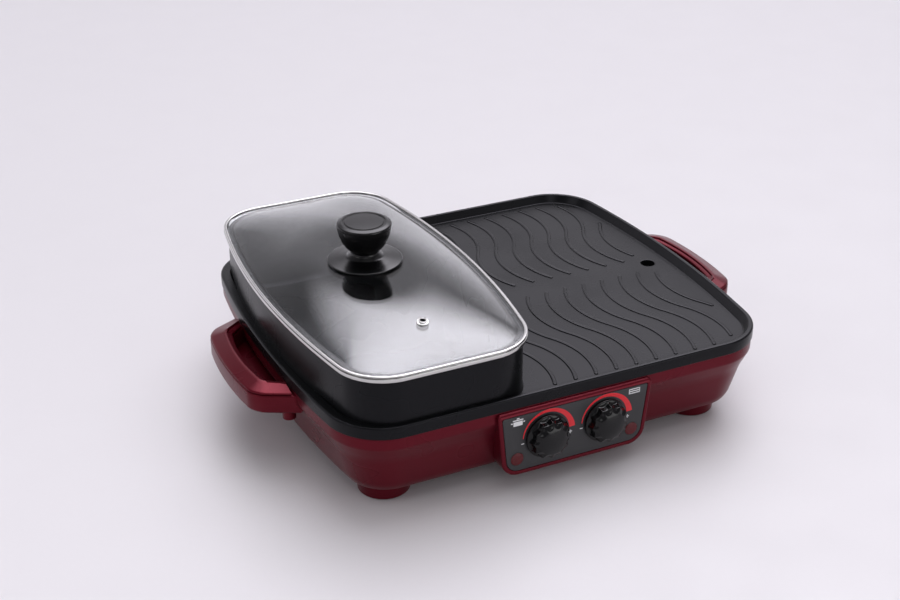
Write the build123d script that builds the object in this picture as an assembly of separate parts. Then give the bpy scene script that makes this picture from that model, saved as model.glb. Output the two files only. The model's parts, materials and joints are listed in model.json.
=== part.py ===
from build123d import *
import math
import os

# Electric grill and hot pot: one cast pan with a deep pot on the left and a ribbed grill plate on the
# right, on a moulded base with two loop handles, two front controls and a lift-off glass lid.
# Millimetres. +Z up, -Y is the front with the controls, X runs along the long side, Z = 0 is the table.

# Pan and base outline
pan_length = 366.0
pan_depth = 310.0
pan_side_bow = 14.0
pan_corner_radius = 44.0
smallest_corner = 8.0

# Heights, from the table up
foot_height = 15.0
base_height = 52.7
rim_height = 9.5
pot_upstand = 33.2
pot_inner_depth = 62.4

# Pan casting
rim_land = 3.5
rim_slope = 3.0
rim_edge_radius = 1.4
plate_edge_inset = 6.0
grill_recess_depth = 6.8
plate_thickness = 4.0
pot_width = 162.4
pot_front_ledge = 4.0
pot_side_ledge = 5.5
pot_side_bow = 18.0
pot_corner_radius = 36.0
pot_wall = 3.5
pot_wall_draft = 0.5
pot_step = 1.5
pot_lip_radius = 1.2
pot_floor_thickness = 4.0
pot_floor_round = 6.0
pot_floor_inset = 12.5

# Grill ribs: two mirrored sets of S-shaped ribs with a drain channel between them
rib_pitch = 17.2
rib_first_x = -12.4
rib_count = 11
rib_swing = 9.6
rib_half_wave = 69.0
rib_channel_half = 10.0
rib_base_width = 3.4
rib_top_width = 1.6
rib_height = 1.3
rib_edge_margin = 1.5
rib_drain_margin = 11.0

# Drain and drip tray
drain_inset = 24.0
drain_radius = 5.75
drain_spout_radius = 8.5
drain_spout_length = 9.0
drain_tube_wall = 1.1
drain_tube_socket = 6.0
drain_tube_end_gap = 1.5
drain_floor_boss = 11.0
drain_floor_fit = 0.3
tray_length = 62.0
tray_width = 60.0
tray_height = 9.0
tray_floor_gap = 3.0
tray_wall = 1.5
tray_lip = 4.0
tray_lip_thickness = 1.6
tray_tab_length = 9.0
tray_behind_drain = 40.0
rail_wall = 2.4
rail_length = 40.0
rail_clearance = 0.2

# Base shell
base_wall = 3.0
flange_inset = 1.0
flange_height = 9.0
flange_slope = 4.5
wall_top_inset = 4.5
wall_foot_inset = 13.0
wall_foot_height = 6.0
bottom_round_inset = 15.5
bottom_round_height = 1.5
bottom_inset = 20.0
floor_rib_height = 4.0
floor_rib_width = 3.0
floor_rib_offset = 55.0
vent_slot_length = 26.0
vent_slot_width = 3.6
vent_slot_pitch = 9.0
vent_slot_count = 5
post_radius = 6.0
post_inset_y = 39.0
grill_post_inset = 88.0
pot_post_drop = 6.0
grill_post_drop = 18.0
screw_radius = 1.8
screw_head_radius = 3.6
screw_head_height = 2.2
screw_bite = 4.0
screw_fit = 0.05

# Feet
foot_inset_x = 52.0
foot_inset_y = 45.0
foot_top_radius = 20.5
foot_bottom_radius = 19.5
foot_round = 1.5
pad_radius = 15.0
pad_height = 3.0
pad_proud = 0.8
pad_fit = 0.3

# Heating
shield_thickness = 1.0
shield_inset = 26.0
shield_hole_clearance = 1.5
element_radius = 3.5
element_seat_gap = 0.3
element_post_gap = 17.5
element_drain_gap = 1.5
element_lanes = 4
element_tail = 14.0
element_bend_share = 0.43
grill_lane_share = 0.656
pot_lane_share = 0.59
clamp_sheet = 1.2
clamp_length = 10.0
clamp_foot = 4.5
clamp_clearance = 0.3

# Front panel
panel_projection = 3.0
panel_top_half_width = 63.5
panel_bottom_half_width = 58.5
panel_top_drop = 0.7
panel_bottom_drop = 1.3
panel_depth = 17.0
panel_bottom_radius = 14.0
panel_top_radius = 4.0
bezel_frame = 3.4
bezel_edge_radius = 1.2
bezel_wall = 3.0
bezel_web = 2.5
plate_recess = 2.2
panel_plate_thickness = 1.9
plate_fit = 0.3
window_half_width = 44.0
window_bottom_rise = 12.5
window_height = 27.0

# Controls
knob_offset_x = 24.0
knob_rise = 27.0
knob_radius = 17.2
knob_skirt = 2.4
knob_grip_radius = 15.9
knob_face_radius = 13.4
knob_height = 13.0
knob_gap = 0.5
knob_flutes = 12
knob_flute_radius = 2.8
knob_flute_depth = 1.4
knob_face_round = 2.2
knob_nut_room = 1.0
shaft_radius = 3.0
shaft_fit = 0.05
shaft_in_knob = 8.5
regulator_radius = 8.5
regulator_depth = 8.5
regulator_tag_drop = 5.0
regulator_tag_width = 2.0
bushing_radius = 4.5
bushing_fit = 0.3
nut_across = 12.0
nut_height = 2.4

# Indicator lamps
lamp_offset_x = 47.5
lamp_rise = 12.5
lens_radius = 5.2
lens_flange = 1.4
lens_flange_thickness = 1.2
lens_proud = 1.0
lens_fit = 0.3
lens_round = 1.6
lamp_radius = 2.6
lamp_length = 6.0
lamp_round = 1.2

# Handles
handle_reach = 29.0
handle_root_depth = 22.0
handle_root_half_width = 75.0
handle_end_half_width = 52.0
handle_bow = 4.5
handle_corner_radius = 16.0
handle_bar = 12.0
handle_arm_root = 5.5
handle_arm_end = 10.0
handle_hole_radius = 8.0
handle_bottom_rise = 34.0
handle_body_height = 15.2
handle_seam_step = 0.8
handle_edge_drop = 2.2
handle_lip_rise = 1.8
handle_rim_gap = 1.0
handle_bottom_round = 2.2
handle_floor = 2.0
boss_radius = 5.0
boss_length = 6.0
boss_inset = 0.5
boss_set_in = 17.2
boss_screw_depth = 9.0

# Appliance inlet in the rear wall
inlet_x = 70.0
inlet_rise = 24.5
inlet_pad_width = 42.0
inlet_pad_height = 27.0
inlet_pad_drop = 3.0
inlet_pad_depth = 16.0
inlet_flange_width = 36.0
inlet_flange_height = 23.0
inlet_flange_thickness = 2.5
inlet_flange_corner = 4.0
inlet_body_width = 27.0
inlet_body_height = 19.6
inlet_body_depth = 22.0
inlet_fit = 0.2
socket_width = 24.0
socket_height = 16.4
socket_depth = 16.0
socket_corner = 4.5
blade_thickness = 2.0
blade_width = 4.0
blade_length = 13.0
blade_tail = 8.0
blade_offset_x = 7.0
blade_offset_z = 2.0

# Lid
lid_overhang = 2.5
lid_seat_gap = 0.3
band_height = 5.6
band_sheet = 0.8
band_lip = 2.4
glass_thickness = 4.0
glass_edge_fit = 0.3
glass_flange = 6.5
dome_rise = 11.5
dome_steps = 7
dome_seat = 1.5
vent_step = 3
vent_dome_margin = 0.7
vent_bore_radius = 1.8
vent_tube_radius = 2.6
vent_flange_radius = 3.8
vent_flange_thickness = 0.9
vent_fit = 0.3
lid_disc_radius = 28.7
lid_disc_edge = 2.0
lid_neck_radius = 12.0
lid_neck_rise = 14.0
lid_knob_radius = 20.9
lid_knob_height = 18.0
lid_knob_round = 3.0
lid_groove_radius = 15.5
lid_groove_width = 1.6
lid_groove_depth = 0.7
lid_screw_radius = 2.5
lid_screw_head_radius = 5.0
lid_screw_head_height = 2.5
lid_screw_bite = 8.0
lid_washer_radius = 11.0
lid_washer_thickness = 1.5
lid_screw_fit = 0.3

# Levels and places worked out from the sizes above
base_bottom_z = foot_height
base_floor_z = base_bottom_z + base_wall
base_top_z = base_bottom_z + base_height
flange_bottom_z = base_top_z - flange_height
wall_top_z = flange_bottom_z - flange_slope
wall_foot_z = base_bottom_z + wall_foot_height
shield_z = base_floor_z + floor_rib_height
screw_head_top_z = base_bottom_z + screw_head_height
rim_top_z = base_top_z + rim_height
plate_top_z = rim_top_z - grill_recess_depth
plate_bottom_z = plate_top_z - plate_thickness
pot_lip_z = rim_top_z + pot_upstand
pot_floor_z = pot_lip_z - pot_inner_depth
pot_bottom_z = pot_floor_z - pot_floor_thickness
pot_depth = pan_depth - 2 * pot_front_ledge
pot_centre_x = -pan_length / 2 + pot_side_ledge + pot_width / 2
drain_x = pan_length / 2 - drain_inset
pot_right_x = pot_centre_x + pot_width / 2
drain_tube_radius = drain_radius + drain_tube_wall
post_y = pan_depth / 2 - post_inset_y
grill_post_x = pan_length / 2 - grill_post_inset
foot_x = pan_length / 2 - foot_inset_x
foot_y = pan_depth / 2 - foot_inset_y
element_half_span = post_y - post_radius - element_radius - element_post_gap
grill_lane_last = drain_x - drain_spout_radius - element_radius - element_drain_gap
grill_lane_pitch = grill_lane_share * (grill_lane_last - pot_right_x) / (element_lanes - 1)
pot_lane_pitch = pot_lane_share * pot_width / (element_lanes - 1)
clamp_y = element_half_span / 2
spout_end_z = plate_bottom_z - drain_spout_length
tray_inner_x = drain_x - tray_behind_drain
tray_outer_x = tray_inner_x + tray_length
tray_top_z = tray_floor_gap + tray_height
tray_lip_z = tray_top_z - tray_lip_thickness
panel_face = pan_depth / 2 + panel_projection
panel_top_z = base_top_z - panel_top_drop
panel_bottom_z = base_bottom_z - panel_bottom_drop
web_face = panel_face - plate_recess
web_back = web_face - bezel_web
plate_face = web_face + panel_plate_thickness
knob_z = base_bottom_z + knob_rise
knob_back = plate_face + knob_gap
knob_front = knob_back + knob_height
lamp_z = base_bottom_z + lamp_rise
window_bottom_z = base_bottom_z + window_bottom_rise
nut_corner_radius = nut_across / math.sqrt(3)
handle_bottom_z = base_bottom_z + handle_bottom_rise
handle_seam_z = handle_bottom_z + handle_body_height
handle_cover_z = handle_seam_z + handle_seam_step
handle_edge_z = base_top_z - handle_edge_drop
handle_lip_z = base_top_z + handle_lip_rise
handle_edge_x = pan_length / 2 + handle_reach
handle_root_x = pan_length / 2 - handle_root_depth
boss_x = pan_length / 2 - boss_inset
boss_y = handle_root_half_width - boss_set_in
boss_bottom_z = handle_bottom_z - boss_length
inlet_z = base_bottom_z + inlet_rise
inlet_pad_y = pan_depth / 2 - inlet_pad_drop
band_bottom_z = pot_lip_z + lid_seat_gap
band_top_z = band_bottom_z + band_height
glass_edge_z = band_bottom_z + band_sheet
glass_top_z = glass_edge_z + glass_thickness + dome_rise
lid_neck_top_z = glass_top_z + lid_neck_rise
lid_knob_top_z = lid_neck_top_z + lid_knob_height
centre_shift = (knob_front - pan_depth / 2) / 2
both_sides = (-1, 1)


def bowed_outline(half_length, half_depth, bow, corner):
    """Face with straight front and back, short sides bowed outwards and rounded corners."""
    end = half_length - bow
    face = make_face([
        Line((-end, -half_depth), (end, -half_depth)),
        ThreePointArc((end, -half_depth), (half_length, 0), (end, half_depth)),
        Line((end, half_depth), (-end, half_depth)),
        ThreePointArc((-end, half_depth), (-half_length, 0), (-end, -half_depth)),
    ])
    return fillet(face.vertices(), max(corner, smallest_corner))


def pan_outline(inset):
    """Outline of the whole pan, drawn in by inset."""
    corner = pan_corner_radius - inset
    return bowed_outline(pan_length / 2 - inset, pan_depth / 2 - inset, pan_side_bow, corner)


def pot_outline(inset):
    """Outline of the outside of the pot wall, drawn in by inset."""
    corner = pot_corner_radius - inset
    face = bowed_outline(pot_width / 2 - inset, pot_depth / 2 - inset, pot_side_bow, corner)
    return Pos(pot_centre_x, 0) * face


def lid_outline(inset):
    """Outline of the lid's band, drawn in by inset."""
    return pot_outline(inset - lid_overhang)


def skin(outline, levels):
    """Solid through one outline, drawn in by each inset at each height of levels."""
    return loft([Pos(0, 0, height) * outline(inset) for inset, height in levels], ruled=True)


def column(outline, inset, bottom, top):
    """Straight solid of one outline between two heights."""
    return extrude(Pos(0, 0, bottom) * outline(inset), top - bottom)


def upright(radius, bottom, top, x=0.0, y=0.0):
    """Vertical round bar."""
    return Pos(x, y, (bottom + top) / 2) * Cylinder(radius, top - bottom)


def facing(radius, back, front, x, z):
    """Round bar along the front axis, from y = -back to y = -front."""
    return Pos(x, -(back + front) / 2, z) * Rot(90, 0, 0) * Cylinder(radius, front - back)


def block(x_span, y_span, z_span):
    """Box from its three spans."""
    spans = (x_span, y_span, z_span)
    centre = [(low + high) / 2 for low, high in spans]
    sizes = [high - low for low, high in spans]
    return Pos(*centre) * Box(*sizes)


def around(middle, size):
    """Span of a size about its middle."""
    return (middle - size / 2, middle + size / 2)


def turned(points):
    """Solid of revolution about Z from its half profile in X and Z."""
    return revolve(Plane.XZ * make_face(Polyline(*points, close=True)), Axis.Z)


def mirrored(shape):
    """The same piece on the left-hand end."""
    return mirror(shape, about=Plane.YZ)


def post_places():
    """Places of the posts that carry the pan, each with the height where base and pan meet."""
    places = []
    for side in both_sides:
        places.append((pot_centre_x, side * post_y, pot_bottom_z - pot_post_drop, pot_floor_z))
        places.append((grill_post_x, side * post_y, plate_bottom_z - grill_post_drop, plate_top_z))
    return places


def make_rib(centre_x, side):
    """One S-shaped rib: a trapezoid carried along two equal arcs."""
    near = side * rib_channel_half
    middle = side * (rib_channel_half + rib_half_wave)
    far = side * (rib_channel_half + 2 * rib_half_wave)
    path = Wire([
        ThreePointArc((centre_x, near), (centre_x - rib_swing, (near + middle) / 2), (centre_x, middle)),
        ThreePointArc((centre_x, middle), (centre_x + rib_swing, (middle + far) / 2), (centre_x, far)),
    ])
    sunk = -plate_thickness / 4
    foot = rib_base_width / 2
    crest = rib_top_width / 2
    section = Polyline((-foot, sunk), (foot, sunk), (foot, 0), (crest, rib_height), (-crest, rib_height),
                       (-foot, 0), close=True)
    start = Plane(path @ 0, x_dir=(path % 0).cross(Vector(0, 0, 1)), z_dir=path % 0)
    return Pos(0, 0, plate_top_z) * sweep(start * make_face(section), path)


def grill_half(bottom, top):
    """Everything to the right of the middle of the pot."""
    return block((pot_centre_x, pan_length), (-pan_depth, pan_depth), (bottom, top))


def make_ribs():
    """Both sets of ribs, ended short of the rim, the pot wall and the drain."""
    area = column(pan_outline, rim_land + rim_slope + rib_edge_margin, plate_bottom_z, rim_top_z)
    area &= grill_half(plate_bottom_z, rim_top_z)
    area -= column(pot_outline, -rib_edge_margin, plate_bottom_z, rim_top_z)
    area -= upright(drain_radius + rib_drain_margin, plate_bottom_z, rim_top_z, drain_x)
    ribs = []
    for index in range(rib_count):
        for side in both_sides:
            rib = make_rib(rib_first_x + index * rib_pitch, side) & area
            ribs.extend(rib.solids())
    return ribs


def make_pan():
    """Cast pan: rim, sunk grill plate with ribs and drain spout, pot wall and pot floor in one piece."""
    rim = column(pan_outline, 0, base_top_z, rim_top_z)
    rim = fillet(rim.faces().sort_by(Axis.Z)[-1].edges(), rim_edge_radius)
    rim += column(pan_outline, plate_edge_inset, plate_bottom_z, plate_top_z)
    recess = skin(pan_outline, [(rim_land + rim_slope, plate_top_z), (rim_land, rim_top_z)])
    recess &= grill_half(plate_top_z, rim_top_z)
    recess -= column(pot_outline, 0, plate_top_z, rim_top_z)
    upstand = skin(pot_outline, [(0, plate_top_z - plate_thickness / 2), (pot_wall_draft, pot_lip_z)])
    bowl = skin(pot_outline, [(pot_floor_inset, pot_bottom_z),
                              (pot_floor_inset - pot_wall, pot_bottom_z + pot_floor_round / 2),
                              (pot_step, plate_top_z - plate_thickness / 2)])
    pan = rim - recess + upstand + bowl
    for x, y, meet, inside in post_places():
        pan += upright(post_radius, meet, inside - plate_thickness / 2, x, y)
    pan += upright(drain_spout_radius, spout_end_z, plate_top_z - plate_thickness / 2, drain_x)
    pan -= skin(pot_outline, [(pot_floor_inset + pot_floor_round, pot_floor_z),
                              (pot_floor_inset, pot_floor_z + pot_floor_round / 2),
                              (pot_wall + pot_step, plate_top_z),
                              (pot_wall + pot_wall_draft, pot_lip_z)])
    lip = pan.faces().sort_by(Axis.Z)[-1]
    pan = fillet(lip.edges(), pot_lip_radius)
    pan += make_ribs()
    pan -= upright(drain_radius, spout_end_z, rim_top_z, drain_x)
    pan -= upright(drain_tube_radius, spout_end_z, spout_end_z + drain_tube_socket, drain_x)
    for x, y, meet, inside in post_places():
        pan -= upright(screw_radius, meet, meet + screw_bite, x, y)
    return pan


def base_envelope():
    """Outside of the base: upright flange that slopes into a tapered wall with a rounded bottom edge."""
    return skin(pan_outline, [(bottom_inset, base_bottom_z),
                              (bottom_round_inset, base_bottom_z + bottom_round_height),
                              (wall_foot_inset, wall_foot_z),
                              (wall_top_inset, wall_top_z),
                              (flange_inset, flange_bottom_z),
                              (flange_inset, base_top_z)])


def base_hollow():
    """Inside of the base, open at the top."""
    flange_inner = flange_inset + base_wall
    return skin(pan_outline, [(bottom_inset + base_wall / 3, base_floor_z),
                              (wall_foot_inset + base_wall, wall_foot_z + base_wall / 3),
                              (wall_top_inset + base_wall, wall_top_z),
                              (flange_inner, flange_bottom_z),
                              (flange_inner, base_top_z)])


def make_base():
    """Moulded base tray with floor ribs, posts, vents, control window and inlet pad."""
    pad_x = around(inlet_x, inlet_pad_width)
    pad_z = around(inlet_z, inlet_pad_height)
    base = base_envelope() + block(pad_x, (inlet_pad_y - inlet_pad_depth, inlet_pad_y), pad_z)
    base -= base_hollow() - block(pad_x, (inlet_pad_y - base_wall, inlet_pad_y), pad_z)
    base += upright(drain_floor_boss, base_bottom_z, base_floor_z, drain_x)
    half_span = pan_length / 2 - 2 * shield_inset
    for step in (-1, 0, 1):
        rib_y = around(step * floor_rib_offset, floor_rib_width)
        base += block((-half_span, half_span), rib_y, (base_floor_z - base_wall / 2, shield_z))
    for x, y, meet, inside in post_places():
        base += upright(post_radius, base_floor_z - base_wall / 2, meet, x, y)
        base -= upright(screw_radius + screw_fit, base_bottom_z, meet, x, y)
        base -= upright(screw_head_radius + screw_fit, base_bottom_z, screw_head_top_z, x, y)
    for centre_x in (pot_centre_x, grill_post_x - vent_slot_length):
        for index in range(vent_slot_count):
            y = floor_rib_offset / 2 + (index - (vent_slot_count - 1) / 2) * vent_slot_pitch
            for side in both_sides:
                slot = Pos(centre_x, side * y, base_bottom_z) * SlotOverall(vent_slot_length, vent_slot_width)
                base -= extrude(slot, base_wall)
    window_y = (-panel_face, panel_depth + base_wall - panel_face)
    base -= block((-window_half_width, window_half_width), window_y,
                  (window_bottom_z, window_bottom_z + window_height))
    base -= upright(drain_tube_radius + drain_floor_fit, base_bottom_z, shield_z, drain_x)
    inlet_y = (inlet_pad_y - inlet_body_depth, inlet_pad_y)
    base -= block(around(inlet_x, inlet_body_width + 2 * inlet_fit), inlet_y,
                  around(inlet_z, inlet_body_height + 2 * inlet_fit))
    return base


def make_foot(x_side, y_side):
    """Round tapered foot with a recess for its pad."""
    foot = turned([(0, pad_proud), (foot_bottom_radius - foot_round, pad_proud),
                   (foot_bottom_radius, pad_proud + foot_round), (foot_top_radius, foot_height - foot_round),
                   (foot_top_radius, foot_height), (0, foot_height)])
    foot -= upright(pad_radius + pad_fit, pad_proud, pad_height)
    return Pos(x_side * foot_x, y_side * foot_y, 0) * foot


def make_pads():
    """Rubber pads under the four feet."""
    return [upright(pad_radius, 0, pad_height, x * foot_x, y * foot_y)
            for x in both_sides for y in both_sides]


def make_pan_screws():
    """Screws that hold the pan down, from under the base."""
    screws = []
    for x, y, meet, inside in post_places():
        shank = upright(screw_radius, base_bottom_z, meet + screw_bite, x, y)
        screws.append(shank + upright(screw_head_radius, base_bottom_z, screw_head_top_z, x, y))
    return screws


def make_shield():
    """Heat shield sheet on the floor ribs, with holes for the posts and the drain tube."""
    top = shield_z + shield_thickness
    shield = column(pan_outline, shield_inset, shield_z, top)
    for x, y, meet, inside in post_places():
        shield -= upright(post_radius + shield_hole_clearance, shield_z, top, x, y)
    return shield - upright(drain_tube_radius + shield_hole_clearance, shield_z, top, drain_x)


def grill_lanes():
    """Places of the grill element's straight runs."""
    return [grill_lane_last - index * grill_lane_pitch for index in reversed(range(element_lanes))]


def pot_lanes():
    """Places of the pot element's straight runs."""
    middle = (element_lanes - 1) / 2
    return [pot_centre_x + (index - middle) * pot_lane_pitch for index in range(element_lanes)]


def make_element(lanes, seat_z):
    """Tubular heating element: parallel runs joined by round bends, just under its seat."""
    tail_y = -element_half_span - element_tail
    points = [(lanes[0], tail_y)]
    for index in range(len(lanes) - 1):
        turn = element_half_span if index % 2 == 0 else -element_half_span
        points += [(lanes[index], turn), (lanes[index + 1], turn)]
    points.append((lanes[-1], tail_y))
    path = FilletPolyline(*points, radius=element_bend_share * (lanes[1] - lanes[0]))
    start = Plane(path @ 0, z_dir=path % 0)
    tube = sweep(start * Circle(element_radius), path)
    return Pos(0, 0, seat_z - element_seat_gap - element_radius) * tube


def make_clamps(lanes, seat_z):
    """Sheet saddles that hold an element up against its seat."""
    inner = element_radius + clamp_clearance
    outer = inner + clamp_sheet
    wing = outer + clamp_foot
    drop = 2 * element_radius + element_seat_gap + clamp_clearance
    points = [(-wing, 0), (-inner, 0), (-inner, -drop), (inner, -drop), (inner, 0), (wing, 0),
              (wing, -clamp_sheet), (outer, -clamp_sheet), (outer, -drop - clamp_sheet),
              (-outer, -drop - clamp_sheet), (-outer, -clamp_sheet), (-wing, -clamp_sheet)]
    saddle = extrude(Plane.XZ * make_face(Polyline(*points, close=True)), clamp_length / 2, both=True)
    return [Pos(x, side * clamp_y, seat_z) * saddle for x in lanes for side in both_sides]


def make_drain_tube():
    """Tube from the pan's spout down to the drip tray."""
    bottom = tray_top_z + drain_tube_end_gap
    top = spout_end_z + drain_tube_socket
    return upright(drain_tube_radius, bottom, top, drain_x) - upright(drain_radius, bottom, top, drain_x)


def make_tray():
    """Drip tray with side lips and a finger tab at its outer end."""
    half = tray_width / 2
    ends = (tray_inner_x, tray_outer_x)
    tray = block(ends, (-half, half), (tray_floor_gap, tray_top_z))
    tray = fillet(tray.edges().filter_by(Axis.Z), 2 * tray_wall)
    tray += block(ends, (-half - tray_lip, half + tray_lip), (tray_lip_z, tray_top_z))
    tab = Pos(tray_outer_x, 0, tray_lip_z) * SlotOverall(tray_width / 2, 2 * tray_tab_length, rotation=90)
    tray += extrude(tab, tray_lip_thickness)
    inside = block((tray_inner_x + tray_wall, tray_outer_x - tray_wall),
                   (-half + tray_wall, half - tray_wall), (tray_floor_gap + tray_wall, tray_top_z))
    return tray - fillet(inside.edges().filter_by(Axis.Z), tray_wall)


def make_rails():
    """Two angle rails under the base that carry the tray's lips, each with an end stop."""
    inner = tray_width / 2 + tray_lip + rail_clearance
    outer = inner + rail_wall
    ledge_inner = tray_width / 2 + 2 * rail_clearance
    ledge_top = tray_lip_z - rail_clearance
    bottom = ledge_top - rail_wall
    stop = tray_inner_x - rail_clearance
    far_end = tray_inner_x + rail_length
    rails = []
    for side in both_sides:
        ledge_span = sorted((side * ledge_inner, side * outer))
        rail = block((stop, far_end), sorted((side * inner, side * outer)), (bottom, base_bottom_z))
        rail += block((stop, far_end), ledge_span, (bottom, ledge_top))
        rail += block((stop - rail_wall, stop), ledge_span, (bottom, base_bottom_z))
        rails.append(rail)
    return rails


def panel_outline(inset):
    """Front view of the control panel: wider at the top, with rounded lower corners."""
    top = panel_top_half_width - inset
    bottom = panel_bottom_half_width - inset
    face = make_face(Polyline((-bottom, panel_bottom_z + inset), (bottom, panel_bottom_z + inset),
                              (top, panel_top_z - inset), (-top, panel_top_z - inset), close=True))
    face = fillet(face.vertices().sort_by(Axis.Y)[:2], panel_bottom_radius - inset)
    return fillet(face.vertices().sort_by(Axis.Y)[-2:], max(panel_top_radius - inset, bezel_edge_radius))


def panel_slab(inset, back, front):
    """Panel outline carried along the front axis, from y = -back to y = -front."""
    return extrude(Plane.XZ.offset(back) * panel_outline(inset), front - back)


def make_bezel(envelope):
    """Raised frame of the control panel, with a web that carries the controls and lamps."""
    back = panel_face - panel_depth
    bezel = panel_slab(0, back, panel_face)
    bezel = fillet(bezel.faces().sort_by(Axis.Y)[0].edges(), bezel_edge_radius)
    bezel -= panel_slab(bezel_frame, web_face, panel_face)
    bezel -= panel_slab(bezel_wall, back, web_back)
    for side in both_sides:
        bezel -= facing(bushing_radius + bushing_fit, web_back, web_face, side * knob_offset_x, knob_z)
        bezel -= facing(lens_radius + lens_fit, web_back, web_face, side * lamp_offset_x, lamp_z)
    return bezel - envelope


def make_panel_plate():
    """Flat fascia in the bezel, with holes for the control nuts and lamp lenses."""
    plate = panel_slab(bezel_frame + plate_fit, web_face, plate_face)
    for side in both_sides:
        plate -= facing(nut_corner_radius + bushing_fit, web_face, plate_face, side * knob_offset_x, knob_z)
        plate -= facing(lens_radius + lens_fit, web_face, plate_face, side * lamp_offset_x, lamp_z)
    return plate


def make_regulator(x):
    """Rotary regulator behind the web: round body, threaded bushing and three tags."""
    back = web_back - regulator_depth
    body = facing(regulator_radius, back, web_back, x, knob_z)
    body += facing(bushing_radius, web_back, web_face + nut_height, x, knob_z)
    tag_z = (knob_z - regulator_radius - regulator_tag_drop, knob_z - regulator_radius / 2)
    tag_y = around(-(back + web_back) / 2, clamp_sheet)
    for step in (-1, 0, 1):
        body += block(around(x + step * 2 * regulator_tag_width, regulator_tag_width), tag_y, tag_z)
    return body - facing(shaft_radius + shaft_fit, back + bezel_web, web_face + nut_height, x, knob_z)


def make_nuts():
    """Hexagon nuts that clamp the regulators to the web."""
    nut = extrude(RegularPolygon(nut_across / 2, 6, major_radius=False), nut_height)
    nut -= upright(bushing_radius + bushing_fit, 0, nut_height)
    return [Pos(side * knob_offset_x, -web_face, knob_z) * Rot(90, 0, 0) * nut for side in both_sides]


def make_shaft(x):
    """Regulator shaft, from the regulator's body into the knob."""
    back = web_back - regulator_depth + bezel_web
    return facing(shaft_radius, back, knob_back + shaft_in_knob, x, knob_z)


def make_knob(x):
    """Control knob: skirt, tapered fluted grip and rounded face, hollow behind for the nut."""
    knob = turned([(0, 0), (knob_radius, 0), (knob_radius, knob_skirt), (knob_grip_radius, knob_skirt),
                   (knob_face_radius, knob_height - knob_face_round),
                   (knob_face_radius - knob_face_round, knob_height), (0, knob_height)])
    lean = math.degrees(math.atan2(knob_grip_radius - knob_face_radius, knob_height - knob_skirt))
    reach = knob_grip_radius + knob_flute_radius - knob_flute_depth
    flute = Pos(reach, 0, knob_skirt) * Rot(0, -lean, 0) * Cylinder(knob_flute_radius, 2 * knob_height)
    flute &= block((0, 2 * knob_radius), (-knob_radius, knob_radius), (knob_skirt, 2 * knob_height))
    for index in range(knob_flutes):
        knob -= Rot(0, 0, (index + 0.5) * 360 / knob_flutes) * flute
    knob -= upright(nut_corner_radius + knob_nut_room, 0, nut_height + knob_nut_room)
    knob -= upright(shaft_radius, 0, shaft_in_knob)
    return Pos(x, -knob_back, knob_z) * Rot(90, 0, 0) * knob


def make_lens(x):
    """Lamp lens: domed cap through the plate, with a flange behind the web."""
    lens = facing(lens_radius, web_back, plate_face + lens_proud, x, lamp_z)
    lens = fillet(lens.faces().sort_by(Axis.Y)[0].edges(), lens_round)
    return lens + facing(lens_radius + lens_flange, web_back - lens_flange_thickness, web_back, x, lamp_z)


def make_lamp(x):
    """Small lamp behind its lens."""
    front = web_back - lens_flange_thickness
    lamp = facing(lamp_radius, front - lamp_length, front, x, lamp_z)
    return fillet(lamp.faces().sort_by(Axis.Y)[-1].edges(), lamp_round)


def loop_side(edge, wide, narrow, corner):
    """One outline of the right loop handle: straight arms and a bowed end."""
    end = edge - handle_bow
    face = make_face([
        Line((handle_root_x, wide), (handle_root_x, -wide)),
        Line((handle_root_x, -wide), (end, -narrow)),
        ThreePointArc((end, -narrow), (edge, 0), (end, narrow)),
        Line((end, narrow), (handle_root_x, wide)),
    ])
    return fillet(face.vertices().sort_by(Axis.X)[-2:], corner)


def handle_outer(inset):
    """Plan of the right handle with its finger recess filled, drawn in by inset."""
    wide = handle_root_half_width - inset
    narrow = handle_end_half_width - inset
    return loop_side(handle_edge_x - inset, wide, narrow, handle_corner_radius - inset)


def handle_plan(inset):
    """Plan of the right handle's bar and arms, their edges drawn in by inset."""
    inner_edge = handle_edge_x - handle_bar + inset
    gap_wide = handle_root_half_width - handle_arm_root + inset
    gap_narrow = handle_end_half_width - handle_arm_end + inset
    return handle_outer(inset) - loop_side(inner_edge, gap_wide, gap_narrow, handle_hole_radius + inset)


def make_handle_bottom(envelope):
    """Lower half of the right handle: bar, arms, floor of the finger recess and two screw bosses."""
    round_z = handle_bottom_z + handle_bottom_round
    levels = [(handle_bottom_round, handle_bottom_z), (0, round_z), (0, handle_seam_z)]
    body = skin(handle_plan, levels)
    body += column(handle_outer, handle_bottom_round, handle_bottom_z, handle_bottom_z + handle_floor)
    for side in both_sides:
        y = side * boss_y
        body += upright(boss_radius, boss_bottom_z, handle_seam_z, boss_x, y)
        body -= upright(screw_radius, boss_bottom_z, boss_bottom_z + boss_screw_depth, boss_x, y)
        head_top = boss_bottom_z + screw_head_height
        body -= upright(screw_head_radius + screw_fit, boss_bottom_z, head_top, boss_x, y)
    return body - envelope


def make_handle_top(envelope):
    """Upper half of the right handle: a stepped seam and a top that falls from its inner lip to its edge."""
    roof = column(handle_outer, handle_seam_step, handle_seam_z, handle_cover_z)
    roof += skin(handle_outer, [(0, handle_cover_z), (0, handle_edge_z), (handle_bar, handle_lip_z)])
    cover = roof & column(handle_plan, 0, handle_seam_z, handle_lip_z)
    cover -= column(pan_outline, -handle_rim_gap, base_top_z, rim_top_z)
    return cover - envelope


def make_handle_screws():
    """Screws in the bosses under the handle arms."""
    screws = []
    for x in (-boss_x, boss_x):
        for side in both_sides:
            y = side * boss_y
            shank = upright(screw_radius, boss_bottom_z, boss_bottom_z + boss_screw_depth, x, y)
            head = upright(screw_head_radius, boss_bottom_z, boss_bottom_z + screw_head_height, x, y)
            screws.append(shank + head)
    return screws


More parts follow.
